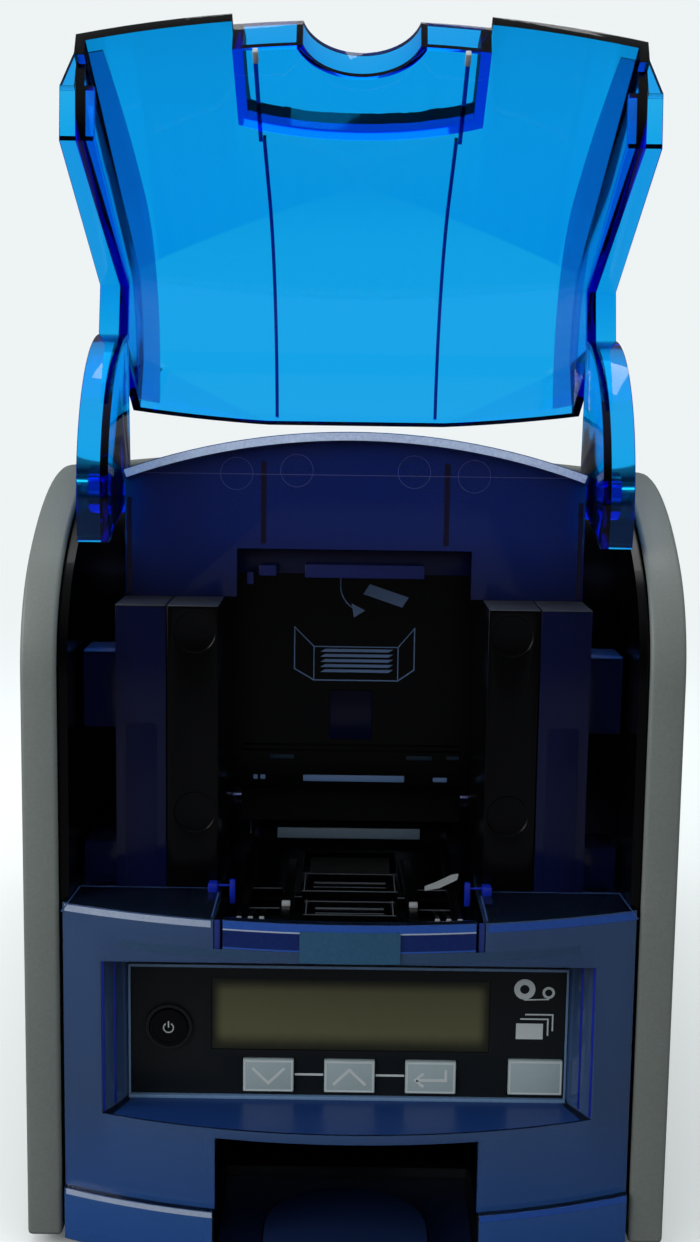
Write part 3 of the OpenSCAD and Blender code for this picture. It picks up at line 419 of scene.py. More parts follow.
def rounded_copy(source: bpy.types.Mesh, how: Dress) -> bpy.types.Mesh:
    """Copies a node's mesh, joins its loose triangles and rounds its sharp edges.

    Args:
        source: The node's mesh, which stays as it is.
        how: The rounding's width, segments and the angle from which an edge is sharp.

    Returns:
        The new mesh, shaded smooth.
    """
    shape = bmesh.new()
    shape.from_mesh(source)
    bmesh.ops.remove_doubles(shape, verts=shape.verts, dist=mm(0.002))
    bmesh.ops.dissolve_limit(shape, angle_limit=math.radians(0.5), verts=shape.verts, edges=shape.edges)
    sharp = [e for e in shape.edges if e.is_manifold and e.calc_face_angle(0.0) > math.radians(how.sharp_deg)]
    bmesh.ops.bevel(
        shape, geom=sharp, offset=mm(how.rounding), offset_type="OFFSET", affect="EDGES", segments=how.segments,
        profile=0.5, material=-1, clamp_overlap=True,
    )
    return finished(shape, how.sharp_deg)


def finished(shape: bmesh.types.BMesh, sharp_deg: float = 35.0) -> bpy.types.Mesh:
    """Turns a bmesh into a mesh that is smooth across its gentle edges.

    Args:
        shape: The bmesh, which is freed.
        sharp_deg: Edges steeper than this stay crisp.

    Returns:
        The mesh.
    """
    mesh = bpy.data.meshes.new("shape")
    for face in shape.faces:
        face.smooth = True
    shape.to_mesh(mesh)
    shape.free()
    mesh.set_sharp_from_angle(angle=math.radians(sharp_deg))
    return mesh


class Shape:
    """A mesh in the making. Its measures are millimetres, and its depths start at the panels' front edges."""

    def __init__(self) -> None:
        """Starts with nothing."""
        self.mesh = bmesh.new()

    def block(self, x: Pair, depth: Pair, z: Pair, rounding: float = 0.0) -> None:
        """Adds a block between two widths, two depths and two heights.

        Args:
            x: Its left and right end.
            depth: Its front and back.
            z: Its bottom and top.
            rounding: How far its edges are rounded.
        """
        made = bmesh.ops.create_cube(self.mesh, size=1.0)["verts"]
        size = (mm(x[1] - x[0]), mm(depth[1] - depth[0]), mm(z[1] - z[0]))
        bmesh.ops.scale(self.mesh, vec=size, verts=made)
        middle = place(sum(x) / 2, sum(depth) / 2, sum(z) / 2)
        bmesh.ops.translate(self.mesh, vec=middle, verts=made)
        if rounding:
            edges = list({edge for vert in made for edge in vert.link_edges})
            bmesh.ops.bevel(
                self.mesh, geom=edges, offset=mm(rounding), offset_type="OFFSET", affect="EDGES", segments=2,
                profile=0.5, material=-1, clamp_overlap=True,
            )

    def stroke(self, points: list[Pair], depth: float, width: float = 0.4, thick: float = 0.1) -> None:
        """Adds a drawn line that faces the front.

        Args:
            points: Its corners, each a width and a height.
            depth: The depth of its back.
            width: How broad the line is.
            thick: How thick the print is.
        """
        for turn_index, (start, end) in enumerate(zip(points, points[1:])):
            along = Vector((end[0] - start[0], 0, end[1] - start[1]))
            made = bmesh.ops.create_cube(self.mesh, size=1.0)["verts"]
            bmesh.ops.scale(self.mesh, vec=(mm(along.length + width * 0.9), mm(thick), mm(width)), verts=made)
            turn = Matrix.Rotation(-math.atan2(along.z, along.x), 3, "Y")
            bmesh.ops.rotate(self.mesh, cent=(0, 0, 0), matrix=turn, verts=made)
            lift = 0.015 * (turn_index % 2)
            middle = place((start[0] + end[0]) / 2, depth - thick / 2 - lift, (start[1] + end[1]) / 2)
            bmesh.ops.translate(self.mesh, vec=middle, verts=made)

    def arc(self, centre: Pair, radius: float, start_deg: float, end_deg: float, depth: float, width: float = 0.4) -> None:
        """Adds a drawn round line that faces the front.

        Args:
            centre: Its centre's width and height.
            radius: Its radius.
            start_deg: Where it starts, from the right and counted upwards.
            end_deg: Where it ends.
            depth: The depth of its back.
            width: How broad the line is.
        """
        steps = max(6, int(abs(end_deg - start_deg) / 9))
        turns = [math.radians(start_deg + (end_deg - start_deg) * i / steps) for i in range(steps + 1)]
        points = [(centre[0] + radius * math.cos(a), centre[1] + radius * math.sin(a)) for a in turns]
        self.stroke(points, depth, width)

    def prism(self, outline: list[Pair], depth: Pair) -> None:
        """Adds a flat piece that faces the front.

        Args:
            outline: Its corners, each a width and a height.
            depth: Its front and back.
        """
        verts = [self.mesh.verts.new(place(x, depth[0], z)) for x, z in outline]
        self.thicken(verts, Vector((0, mm(depth[1] - depth[0]), 0)))

    def slab(self, outline: list[Pair], x: Pair) -> None:
        """Adds a piece with its outline drawn in depth and height.

        Args:
            outline: Its corners, each a depth and a height.
            x: Its left and right end.
        """
        verts = [self.mesh.verts.new(place(x[0], depth, z)) for depth, z in outline]
        self.thicken(verts, Vector((mm(x[1] - x[0]), 0, 0)))

    def thicken(self, verts: list[bmesh.types.BMVert], along: Vector) -> None:
        """Closes an outline with a face and draws it out into a solid.

        Args:
            verts: The outline's corners.
            along: How far and which way it is drawn out.
        """
        face = self.mesh.faces.new(verts)
        grown = bmesh.ops.extrude_face_region(self.mesh, geom=[face], use_keep_orig=True)["geom"]
        moved = [item for item in grown if isinstance(item, bmesh.types.BMVert)]
        bmesh.ops.translate(self.mesh, vec=along, verts=moved)

    def ring(self, centre: Pair, outer: float, inner: float, depth: Pair, steps: int = 48) -> None:
        """Adds a flat ring that faces the front.

        Args:
            centre: Its centre's width and height.
            outer: Its outer radius.
            inner: The radius of its hole.
            depth: Its front and back.
            steps: How many sides it has.
        """
        corners = ((outer, depth[0]), (outer, depth[1]), (inner, depth[1]), (inner, depth[0]))
        verts = [self.mesh.verts.new(place(centre[0] + radius, deep, centre[1])) for radius, deep in corners]
        edges = [self.mesh.edges.new(pair) for pair in zip(verts, verts[1:] + verts[:1])]
        bmesh.ops.spin(
            self.mesh, geom=verts + edges, cent=place(centre[0], 0, centre[1]), axis=(0, 1, 0), angle=2 * math.pi, steps=steps, use_merge=True
        )

    def sweep(self, sections: list[list[Vector]]) -> None:
        """Draws a face out through a row of cross-sections.

        Args:
            sections: The cross-sections, each with the same number of corners in the same order.
        """
        face = self.mesh.faces.new([self.mesh.verts.new(point) for point in sections[0]])
        before = sections[0]
        for section in sections[1:]:
            grown = bmesh.ops.extrude_face_region(self.mesh, geom=[face])["geom"]
            if before is not sections[0]:  # only the sweep's two ends keep a face across it
                bmesh.ops.delete(self.mesh, geom=[face], context="FACES_ONLY")
            face = next(item for item in grown if isinstance(item, bmesh.types.BMFace))
            for vert in face.verts:
                corner = min(range(len(before)), key=lambda i: (before[i] - vert.co).length)
                vert.co = section[corner]
            before = section

    def both_sides(self) -> None:
        """Adds a mirrored copy of everything on the printer's other side."""
        copy = bmesh.ops.duplicate(self.mesh, geom=self.mesh.verts[:] + self.mesh.edges[:] + self.mesh.faces[:])["geom"]
        verts = [item for item in copy if isinstance(item, bmesh.types.BMVert)]
        bmesh.ops.scale(self.mesh, vec=(-1, 1, 1), verts=verts)

    def turned(self, matrix: Matrix) -> "Shape":
        """Moves everything by a matrix.

        Args:
            matrix: The matrix in the frame's metres.

        Returns:
            The same shape.
        """
        bmesh.ops.transform(self.mesh, matrix=matrix, verts=self.mesh.verts)
        return self

    def piece(self, name: str, finish: Finish, body: str = "root", slot: str = "black_abs") -> bpy.types.Object:
        """Ends the shape and puts it into the scene.

        Args:
            name: The piece's name.
            finish: Its finish.
            body: The body that carries it.
            slot: The record's material slot; not used.

        Returns:
            The new object.
        """
        bmesh.ops.recalc_face_normals(self.mesh, faces=self.mesh.faces)
        return link(name, finished(self.mesh, 30.0), finish, body)


@dataclass
class Controls:
    """Signs on the display plate: key symbols, lines between the keys, a power sign and two icons."""

    face: float = 8.0
    key_face: float = 7.1
    key_z: float = 47.6
    key_x: float = 0.6
    pitch: float = 22.4
    key_half_w: float = 7.0
    key_half_h: float = 4.65

    def build(self) -> None:
        """Draws all the signs."""
        self.key_signs()
        self.key_links()
        self.power_sign()
        self.spool_icon()
        self.card_icon()

    def key_signs(self) -> None:
        """Draws the two chevrons, the return arrow and the keys' pale edges, each riding on its key."""
        signs = {
            "key_down": (-1, [[(-4.2, 2.0), (0, -2.1), (4.2, 2.0)]]),
            "key_up": (0, [[(-4.2, -2.1), (0, 2.0), (4.2, -2.1)]]),
            "key_enter": (1, [[(4.2, 2.0), (4.2, -0.7), (-3.6, -0.7)], [(-2.2, 1.0), (-4.2, -0.7), (-2.2, -2.4)]]),
        }
        for node, (place_in_row, lines) in signs.items():
            middle = self.key_x + place_in_row * self.pitch
            shape = Shape()
            for line in lines:
                shape.stroke([(middle + x, self.key_z + z) for x, z in line], self.key_face, 0.8, 0.06)
            shape.piece(node + "_sign", Finish.PALE_PRINT, node, "key_abs")
            self.pale_edge(node, middle, self.key_half_w, self.key_z, self.key_half_h)
        low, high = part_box("key_user")
        self.pale_edge(
            "key_user", (low.x + high.x) / 2 / MM, (high.x - low.x) / 2 / MM, self.key_z + 0.4, self.key_half_h + 0.35
        )

    def pale_edge(self, node: str, middle: float, half_w: float, z: float, half_h: float) -> None:
        """Draws the pale line round a key's face.

        Args:
            node: The key's node.
            middle: The key's middle.
            half_w: Half of its width.
            z: The height of its middle.
            half_h: Half of its height.
        """
        in_w, in_h = half_w - 0.5, half_h - 0.5
        corners = [(-in_w, -in_h), (in_w, -in_h), (in_w, in_h), (-in_w, in_h), (-in_w, -in_h)]
        shape = Shape()
        shape.stroke([(middle + x, z + dz) for x, dz in corners], self.key_face, 0.42, 0.05)
        shape.piece(node + "_edge_line", Finish.KEY_LINE, node, "key_abs")

    def key_links(self) -> None:
        """Joins the three small keys with printed lines."""
        shape = Shape()
        for side in (-1, 1):
            near = self.key_x + side * (self.key_half_w + 0.5)
            far = self.key_x + side * (self.pitch - self.key_half_w - 0.5)
            shape.stroke([(near, self.key_z + 0.2), (far, self.key_z + 0.2)], self.face, 0.6)
        shape.piece("key_link_lines", Finish.PALE_PRINT, slot="slate_plate")

    def power_sign(self) -> None:
        """Draws the power sign on the power button, and the glossy dish round it."""
        low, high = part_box("power_button")
        centre = ((low.x + high.x) / 2 / MM, (low.z + high.z) / 2 / MM)
        front = (low.y - FRONT_Y) / MM
        shape = Shape()
        shape.arc(centre, 1.35, 130, 410, front, 0.34)
        shape.stroke([(centre[0], centre[1] + 0.2), (centre[0], centre[1] + 1.7)], front, 0.34)
        shape.piece("power_sign", Finish.PALE_PRINT, "power_button", "black_abs")
        dish = Shape()
        dish.ring(centre, 4.9, 4.3, (front - 0.15, front))
        dish.piece("power_button_lip", Finish.BLACK_ABS, "power_button", "black_abs")

    def spool_icon(self) -> None:
        """Draws a ribbon sign: a full roll, an empty roll and the film that joins them below."""
        shape = Shape()
        for centre, outer, inner in (((48.4, 73.2), 2.9, 1.3), ((55.0, 72.3), 1.7, 1.0)):
            shape.ring(centre, outer, inner, (self.face - 0.1, self.face))
        shape.stroke([(48.4, 70.2), (55.0, 70.4)], self.face, 0.35)
        shape.piece("ribbon_icon", Finish.PALE_PRINT, slot="slate_plate")

    def card_icon(self) -> None:
        """Draws a sign of a card in front of two more."""
        shape = Shape()
        shape.block((46.3, 53.7), (self.face - 0.1, self.face), (58.9, 63.4))
        for step in (1, 2):
            left, low, right, high = 46.3 + step * 1.3, 58.9 + step * 1.3, 53.7 + step * 1.3, 63.4 + step * 1.3
            shape.stroke([(left, high), (right, high), (right, low)], self.face, 0.4)
        shape.piece("card_stack_icon", Finish.PALE_PRINT, slot="slate_plate")


@dataclass
class Hopper:
    """What shows in the card hopper: ribs, slots, a loading sign, sloping rests and studs."""

    frame_face: float = 35.0
    back_face: float = 76.0
    tray_top: float = 92.5

    def build(self) -> None:
        """Makes all of it."""
        self.frame_ribs()
        self.back_details()
        self.loading_sign()
        self.rest_tips()
        self.tray_relief()
        self.latches()

    def frame_ribs(self) -> None:
        """Stands two ribs and a cross line behind the see-through frame, with moulded rings near them."""
        shape = Shape()
        back = self.frame_face + 2.6
        shape.block((24.8, 26.6), (back, back + 9), (191, 214.5))
        shape.block((62.2, 63.8), (back, back + 14), (166, 212))
        shape.both_sides()
        shape.piece("frame_ribs", Finish.RIB_CLEAR, slot="deep_blue_clear_abs")
        shades = Shape()
        shades.block((24.9, 26.4), (self.frame_face - 0.05, self.frame_face), (192.5, 215.5))
        shades.block((62.6, 63.9), (self.frame_face - 0.05, self.frame_face), (178, 205))
        shades.both_sides()
        shades.piece("frame_rib_shades", Finish.RIB_SHADE, slot="deep_blue_clear_abs")
        lines = Shape()
        lines.stroke([(-63.9, 211.9), (63.9, 211.9)], self.frame_face - 0.01, 0.16, 0.05)
        lines.piece("frame_parting_line", Finish.DUST, slot="deep_blue_clear_abs")
        rings = Shape()
        for x, z in ((33.2, 212.0), (16.4, 213.0)):
            rings.ring((x, z), 4.6, 4.48, (self.frame_face - 0.04, self.frame_face - 0.01))
        rings.both_sides()
        rings.piece("ejector_rings", Finish.DUST, slot="deep_blue_clear_abs")
        notch = Shape()
        for left, right, low, high in ((-27, -22, 183, 186), (-14, 20, 182.6, 186.4), (-30.5, -28.5, 180.5, 184)):
            notch.block((left, right), (self.frame_face + 3, self.frame_face + 6), (low, high), 0.3)
        notch.piece("frame_notch_clips", Finish.CLIP_BLUE, slot="deep_blue_clear_abs")
        band = Shape()
        band.block((-33.2, 33.2), (self.frame_face + 6.2, self.frame_face + 7.4), (183.4, 192.0), 0.3)
        band.piece("frame_notch_band", Finish.COLUMN_BLUE, slot="deep_blue_clear_abs")

    def back_details(self) -> None:
        """Adds the pale sensor bars, the dim slots and the blue flap on the hopper's back."""
        bars = Shape()
        bars.block((-15, 16.6), (self.back_face - 0.5, self.back_face), (114.4, 116.4), 0.15)
        bars.block((-30.6, -29.2), (self.back_face - 0.5, self.back_face), (114.9, 116.3), 0.15)
        bars.block((-28.4, -26.8), (self.back_face - 0.5, self.back_face), (114.9, 116.3), 0.15)
        bars.block((25.6, 30), (self.back_face - 0.5, self.back_face), (114.6, 116), 0.15)
        bars.piece("sensor_bars", Finish.BLUE_PRINT, slot="anodised_bar")
        dim = Shape()
        dim.block((-25.4, -17.9), (self.back_face - 0.4, self.back_face), (121.5, 122.8), 0.1)
        dim.block((17.1, 25.2), (self.back_face - 0.4, self.back_face), (121.5, 122.8), 0.1)
        dim.block((29.6, 33.6), (self.back_face - 0.4, self.back_face), (121.7, 122.8), 0.1)
        dim.piece("back_slots", Finish.STEEL_DIM, slot="black_abs")
        flap = Shape()
        flap.block((-7, 6.3), (self.back_face - 0.9, self.back_face), (128, 143.4), 0.3)
        flap.piece("back_flap", Finish.COLUMN_BLUE, slot="deep_blue_clear_abs")
        seams = Shape()
        for z in (126, 124.2, 112.6):
            seams.block((-34, 34), (self.back_face - 0.25, self.back_face), (z - 0.25, z + 0.25), 0.05)
        seams.piece("back_steps", Finish.BLACK_ABS, slot="black_abs")
        # A black sheet in front of the feed idler: painted shade that hides the idler in the dark gap.
        shade_sheet = Shape()
        shade_sheet.block((-35.0, 35.0), (86.5, 87.3), (98.8, 111.5), 0.2)
        shade_sheet.piece("painted_idler_shade", Finish.RUBBER)
        bar = Shape()
        bar.block((-23, 22), (79.3, 79.9), (95, 98.3), 0.1)
        bar.piece("feed_gate_face", Finish.GATE_GREY)

    def loading_sign(self) -> None:
        """Draws how to load: cards fall in a stack on the right, and an arrow points down into an open box."""
        face = self.back_face
        sign = Shape()
        box = [(-18, 163), (-18, 150), (-12, 146.5), (14, 146.5), (19, 150), (19, 163)]
        sign.stroke(box, face, 0.35)
        sign.stroke([(-12, 146.5), (-12, 157), (-18, 163)], face, 0.3)
        sign.stroke([(14, 146.5), (14, 157), (19, 163)], face, 0.3)
        sign.stroke([(-12, 157), (14, 157)], face, 0.3)
        sign.stroke([(-4, 176), (-4, 184)], face, 0.35)
        sign.arc((4, 176), 8, 180, 250, face, 0.35)
        sign.prism([(0.2, 166.2), (3.6, 168.4), (-0.6, 170.6)], (face - 0.1, face))
        sign.piece("loading_sign", Finish.BLUE_PRINT, slot="black_abs")
        cards = Shape()
        for row in range(5):
            z = 149 + row * 1.6
            cards.prism([(-10, z), (11, z), (12.5, z + 0.9), (-8.5, z + 0.9)], (face - 0.1, face))
        cards.prism([(3, 173.5), (15, 169.5), (17, 172.6), (5, 176.6)], (face - 0.1, face))
        cards.piece("loading_sign_cards", Finish.BLUE_PRINT, slot="black_abs")

    def rest_tips(self) -> None:
        """Caps the rails and the front ends of the fork ribs with pale tips."""
        tips = Shape()
        tips.block((16.1, 18.4), (4.6, 6.4), (96.9, 98.2), 0.25)
        for left in (22.6, 25.6, 28.6):
            tips.block((left - 0.05, left + 1.25), (-5.9, -5.5), (93.6, 97.5), 0.15)
        tips.both_sides()
        tips.piece("rest_tips", Finish.TIP_ABS)

    def tray_relief(self) -> None:
        """Adds two sunk frames between the rails, bosses beside them and webs outside, with painted highlights along
        their edges.
        """
        shape = Shape()
        # edges takes painted highlights: pale strips along the top edges of the frames, bosses and webs.
        edges = Shape()
        top = self.tray_top
        for near, far, half in ((5.0, 18.0, 12.6), (26.0, 44.0, 13.6)):
            for front, back in ((near, near + 1.4), (far - 1.4, far)):
                shape.block((-half, half), (front, back), (top, top + 2.0), 0.2)
                edges.block((-half, half), (front + 0.1, front + 0.45), (top + 1.9, top + 2.1), 0.05)
            for x in (-half, half - 1.4):
                shape.block((x, x + 1.4), (near, far), (top, top + 2.0), 0.2)
                edges.block((x + 0.5, x + 0.8), (near, far), (top + 1.9, top + 2.1), 0.05)
            middle = (near + far) / 2
            shape.block((-half + 2.6, half - 2.6), (middle - 3.0, middle + 3.0), (top - 1.0, top + 1.2), 0.3)
            edges.block((-half + 3.2, half - 3.2), (middle - 2.6, middle - 2.2), (top + 1.1, top + 1.3), 0.05)
            edges.block((-half + 3.2, half - 3.2), (middle + 1.2, middle + 2.4), (top + 1.1, top + 1.3), 0.05)
        for x in (-15.4, 13.4):
            shape.block((x, x + 2), (20, 25), (top, top + 2.2), 0.3)
            edges.block((x, x + 2), (20.1, 20.4), (top + 2.1, top + 2.3), 0.05)
        shape.piece("tray_relief", Finish.BLACK_ABS)
        for near in (13, 31):
            edges.block((19.4, 27.8), (near, near + 0.4), (top + 1.0, top + 1.25), 0.05)
            edges.block((-27.8, -19.4), (near, near + 0.4), (top + 1.0, top + 1.25), 0.05)
        edges.piece("tray_highlight_strips", Finish.TRAY_EDGE)
        webs = Shape()
        for near in (13, 22, 31):
            webs.block((19.2, 28.0), (near, near + 1.2), (top, top + 1.1), 0.2)
        webs.both_sides()
        webs.piece("tray_webs", Finish.BLACK_ABS)

    def latches(self) -> None:
        """Sets a bright blue catch in each corner of the card opening, and a pale spring clip near the right one."""
        shape = Shape()
        shape.block((36.2, 39.0), (10.5, 14.5), (98.4, 101.2), 0.6)
        shape.block((31.4, 33.0), (10.5, 12.5), (95.5, 102.2), 0.4)
        shape.block((33.0, 36.2), (11.2, 11.9), (100.2, 100.8), 0.2)
        shape.both_sides()
        shape.piece("cover_catches", Finish.GLOW_BLUE, slot="navy_clear_abs")
        clip = Shape()
        clip.prism([(20.6, 99.2), (24.6, 100.0), (29.4, 102.4), (29.8, 103.9), (28.0, 103.6), (23.6, 101.4), (20.6, 100.2)], (13.0, 14.0))
        clip.piece("spring_clip", Finish.TIP_ABS)


@dataclass
class Edges:
    """Bright edges of the see-through pieces, where dyed plastic gathers the light."""

    bulge_r: float = 196.0
    bulge: float = 15.0

    def build(self) -> None:
        """Makes every edge piece."""
        self.ledge_edges()
        self.tray_edges()
        self.lip()
        self.surround()
        self.sill()
        self.roof_rim()
        self.wing_edges()

    def front(self, x: float, out: float = 0.0) -> float:
        """The depth of the bulged front at a width.

        Args:
            x: The width.
            out: How far the asked surface lies outside the bezel's.

        Returns:
            The depth in millimetres.
        """
        return self.bulge_r - self.bulge - math.sqrt((self.bulge_r + out) ** 2 - x * x)

    def along_front(self, name: str, x: Pair, z: Pair, out: float, thick: float, finish: Finish, slot: str) -> None:
        """Lays a strip along the bulged front.

        Args:
            name: The piece's name.
            x: Its left and right end.
            z: Its bottom and top.
            out: How far its face lies outside the bezel's.
            thick: How thick it is.
            finish: Its finish.
            slot: The record's material slot.
        """
        steps = max(4, int(abs(x[1] - x[0]) / 3))
        widths = [x[0] + (x[1] - x[0]) * i / steps for i in range(steps + 1)]
        corners = ((0.0, z[0]), (thick, z[0]), (thick, z[1]), (0.0, z[1]))
        shape = Shape()
        shape.sweep([[place(w, self.front(w, out) + deep, high) for deep, high in corners] for w in widths])
        shape.piece(name, finish, slot=slot)

    def ledge_edges(self) -> None:
        """Brightens the ledge's front edge: pale on the left, where the window's light falls, blue on the right, and
        paints a dim highlight along the ledge's back and side edges.
        """
        self.along_front("ledge_edge_left", (-76.4, -36.2), (96.3, 98.1), 0.06, 0.5, Finish.EDGE_PALE, "navy_clear_abs")
        self.along_front("ledge_edge_right", (36.2, 76.4), (95.9, 98.1), 0.06, 0.5, Finish.EDGE_BLUE, "navy_clear_abs")

        # Painted highlight: a dim line along the ledge's back and side edges.
        lines = Shape()
        for outline in (
            ((-75.9, -7.0), (-74.6, 15.2), (-36.6, 15.2)), ((36.6, 15.2), (74.6, 15.2), (75.9, -7.0)),
            ((-36.0, -10.0), (-36.0, 11.0)), ((36.0, -10.0), (36.0, 11.0)),
        ):
            self.top_line(lines, outline, 98.52, 0.4)
        lines.piece("ledge_outline_highlight", Finish.EDGE_DIM, slot="navy_clear_abs")

    def top_line(self, shape: Shape, points: tuple[Pair, ...], z: float, width: float) -> None:
        """Draws a line on a face that looks up.

        Args:
            shape: The mesh that takes it.
            points: Its corners, each a width and a depth.
            z: The face's height.
            width: How broad the line is.
        """
        for start, end in zip(points, points[1:]):
            along = Vector((end[0] - start[0], end[1] - start[1])).normalized() * width / 2
            corners = [(start[0] - along.y, start[1] + along.x), (end[0] - along.y, end[1] + along.x)]
            corners += [(end[0] + along.y, end[1] - along.x), (start[0] + along.y, start[1] - along.x)]
            shape.thicken([shape.mesh.verts.new(place(x, depth, z)) for x, depth in corners], Vector((0, 0, mm(0.08))))

    def tray_edges(self) -> None:
        """Brightens the output tray's stepped top edge in the same way."""
        self.along_front("tray_edge_left", (-76.4, -35.6), (16.8, 18.2), 2.06, 0.5, Finish.EDGE_PALE, "navy_clear_abs")
        self.along_front("tray_edge_right", (35.6, 76.4), (16.6, 18.2), 2.06, 0.5, Finish.EDGE_BLUE, "navy_clear_abs")

    def lip(self) -> None:
        """Caps the feed lip with its bright rounded top, and hangs the clear tab under it."""
        self.along_front("feed_lip_cap", (-33, 33), (96.3, 98.4), 0.06, 0.4, Finish.EDGE_BLUE, "navy_clear_abs")
        self.along_front("feed_lip_line", (-33, 33), (95.9, 96.3), 0.09, 0.4, Finish.EDGE_PALE, "navy_clear_abs")
        self.along_front("feed_lip_shade", (-33, 33), (91.2, 95.8), 0.06, 0.1, Finish.LIP_SHADE, "navy_clear_abs")
        self.along_front("feed_lip_fold", (-33, 33), (91.0, 91.4), 0.1, 0.1, Finish.EDGE_BLUE, "navy_clear_abs")
        posts = Shape()
        posts.block((33.7, 35.3), (-11.6, -10.6), (88.2, 98.2), 0.3)
        posts.both_sides()
        posts.piece("ledge_posts", Finish.POST_BLUE, slot="navy_clear_abs")
        self.along_front("feed_tab", (-12.9, 13.2), (88.2, 96.6), 0.5, 0.35, Finish.TAB_CLEAR, "navy_clear_abs")

    def surround(self) -> None:
        """Lines the display's slanted surround with its bright blue steps."""
        shape = Shape()
        for x, depth in ((61.0, 6.6), (63.0, 1.8), (65.4, -3.0)):
            shape.block((x, x + 0.7), (depth, depth + 1.2), (41.4, 79.0 + (x - 61.0) * 2), 0.2)
        shape.both_sides()
        shape.piece("surround_steps", Finish.GLOW_BLUE, slot="navy_clear_abs")
        # A pale line round the display window: painted highlight on the recess's edges.
        frame_line = Shape()
        frame_line.block((-60.2, 60.2), (6.2, 7.9), (41.1, 42.0), 0.15)
        frame_line.block((-60.2, 60.2), (7.2, 7.9), (78.4, 79.2), 0.15)
        frame_line.block((-60.4, -59.8), (7.2, 7.9), (41.1, 79.2), 0.1)
        frame_line.block((59.8, 60.4), (7.2, 7.9), (41.1, 79.2), 0.1)
        frame_line.piece("surround_frame_highlight", Finish.FRAME_LINE, slot="navy_clear_abs")
        self.along_front("surround_brow", (-61, 61), (88.2, 90.6), 0.03, 0.06, Finish.BROW, "navy_clear_abs")

    def sill(self) -> None:
        """Lays the lit blue skin on the floor of the display's recess."""
        steps = 40
        sections = []
        for i in range(steps + 1):
            part = 2 * i / steps - 1
            near, far = part * 63.0, part * 58.4
            front = self.front(near) + 0.6
            corners = ((near, front, 41.06), (far, 7.6, 41.06), (far, 7.6, 41.14), (near, front, 41.14))
            sections.append([place(*corner) for corner in corners])
        shape = Shape()
        shape.sweep(sections)
        shape.piece("display_sill_skin", Finish.SILL_BLUE, slot="navy_clear_abs")

    def roof_rim(self) -> None:
        """Rounds the roof's front rim and the guides' top edges, which catch the light from above."""
        roof_r, crest, depth = 192.0, 224.0, 31.0
        steps = 40
        corners = ((roof_r - 0.15, -0.25), (roof_r - 0.15, 0.0), (roof_r - 2.3, 0.0), (roof_r - 2.3, -0.25))
        sections = []
        for i in range(steps + 1):
            turn = math.asin(64.2 / roof_r) * (2 * i / steps - 1)
            sections.append([place(r * math.sin(turn), depth + deep, crest - roof_r + r * math.cos(turn)) for r, deep in corners])
        shape = Shape()
        shape.sweep(sections)
        shape.piece("roof_rim", Finish.RIM_PALE, slot="deep_blue_clear_abs")

    def wing_edges(self) -> None:
        """Caps the columns and their side wings with bright edges."""
        # Grey caps on the columns' tops, paler than the columns.
        caps = Shape()
        caps.block((50.9, 64.4), (14.6, 34.6), (177.0, 177.35), 0.15)
        caps.block((36.6, 50.4), (14.6, 34.6), (177.0, 177.35), 0.15)
        caps.both_sides()
        caps.piece("column_caps", Finish.CAP_DUST, slot="deep_blue_clear_abs")
        wings = Shape()
        wings.block((64.8, 73.8), (19.6, 34.0), (163.5, 164.1), 0.2)
        wings.both_sides()
        wings.piece("wing_edges", Finish.EDGE_BLUE, slot="deep_blue_clear_abs")
        strips = Shape()
        strips.block((53.3, 61.9), (14.75, 15.0), (99.0, 144.8), 0.1)
        strips.both_sides()
        strips.piece("column_strips", Finish.COLUMN_BLUE, slot="deep_blue_clear_abs")


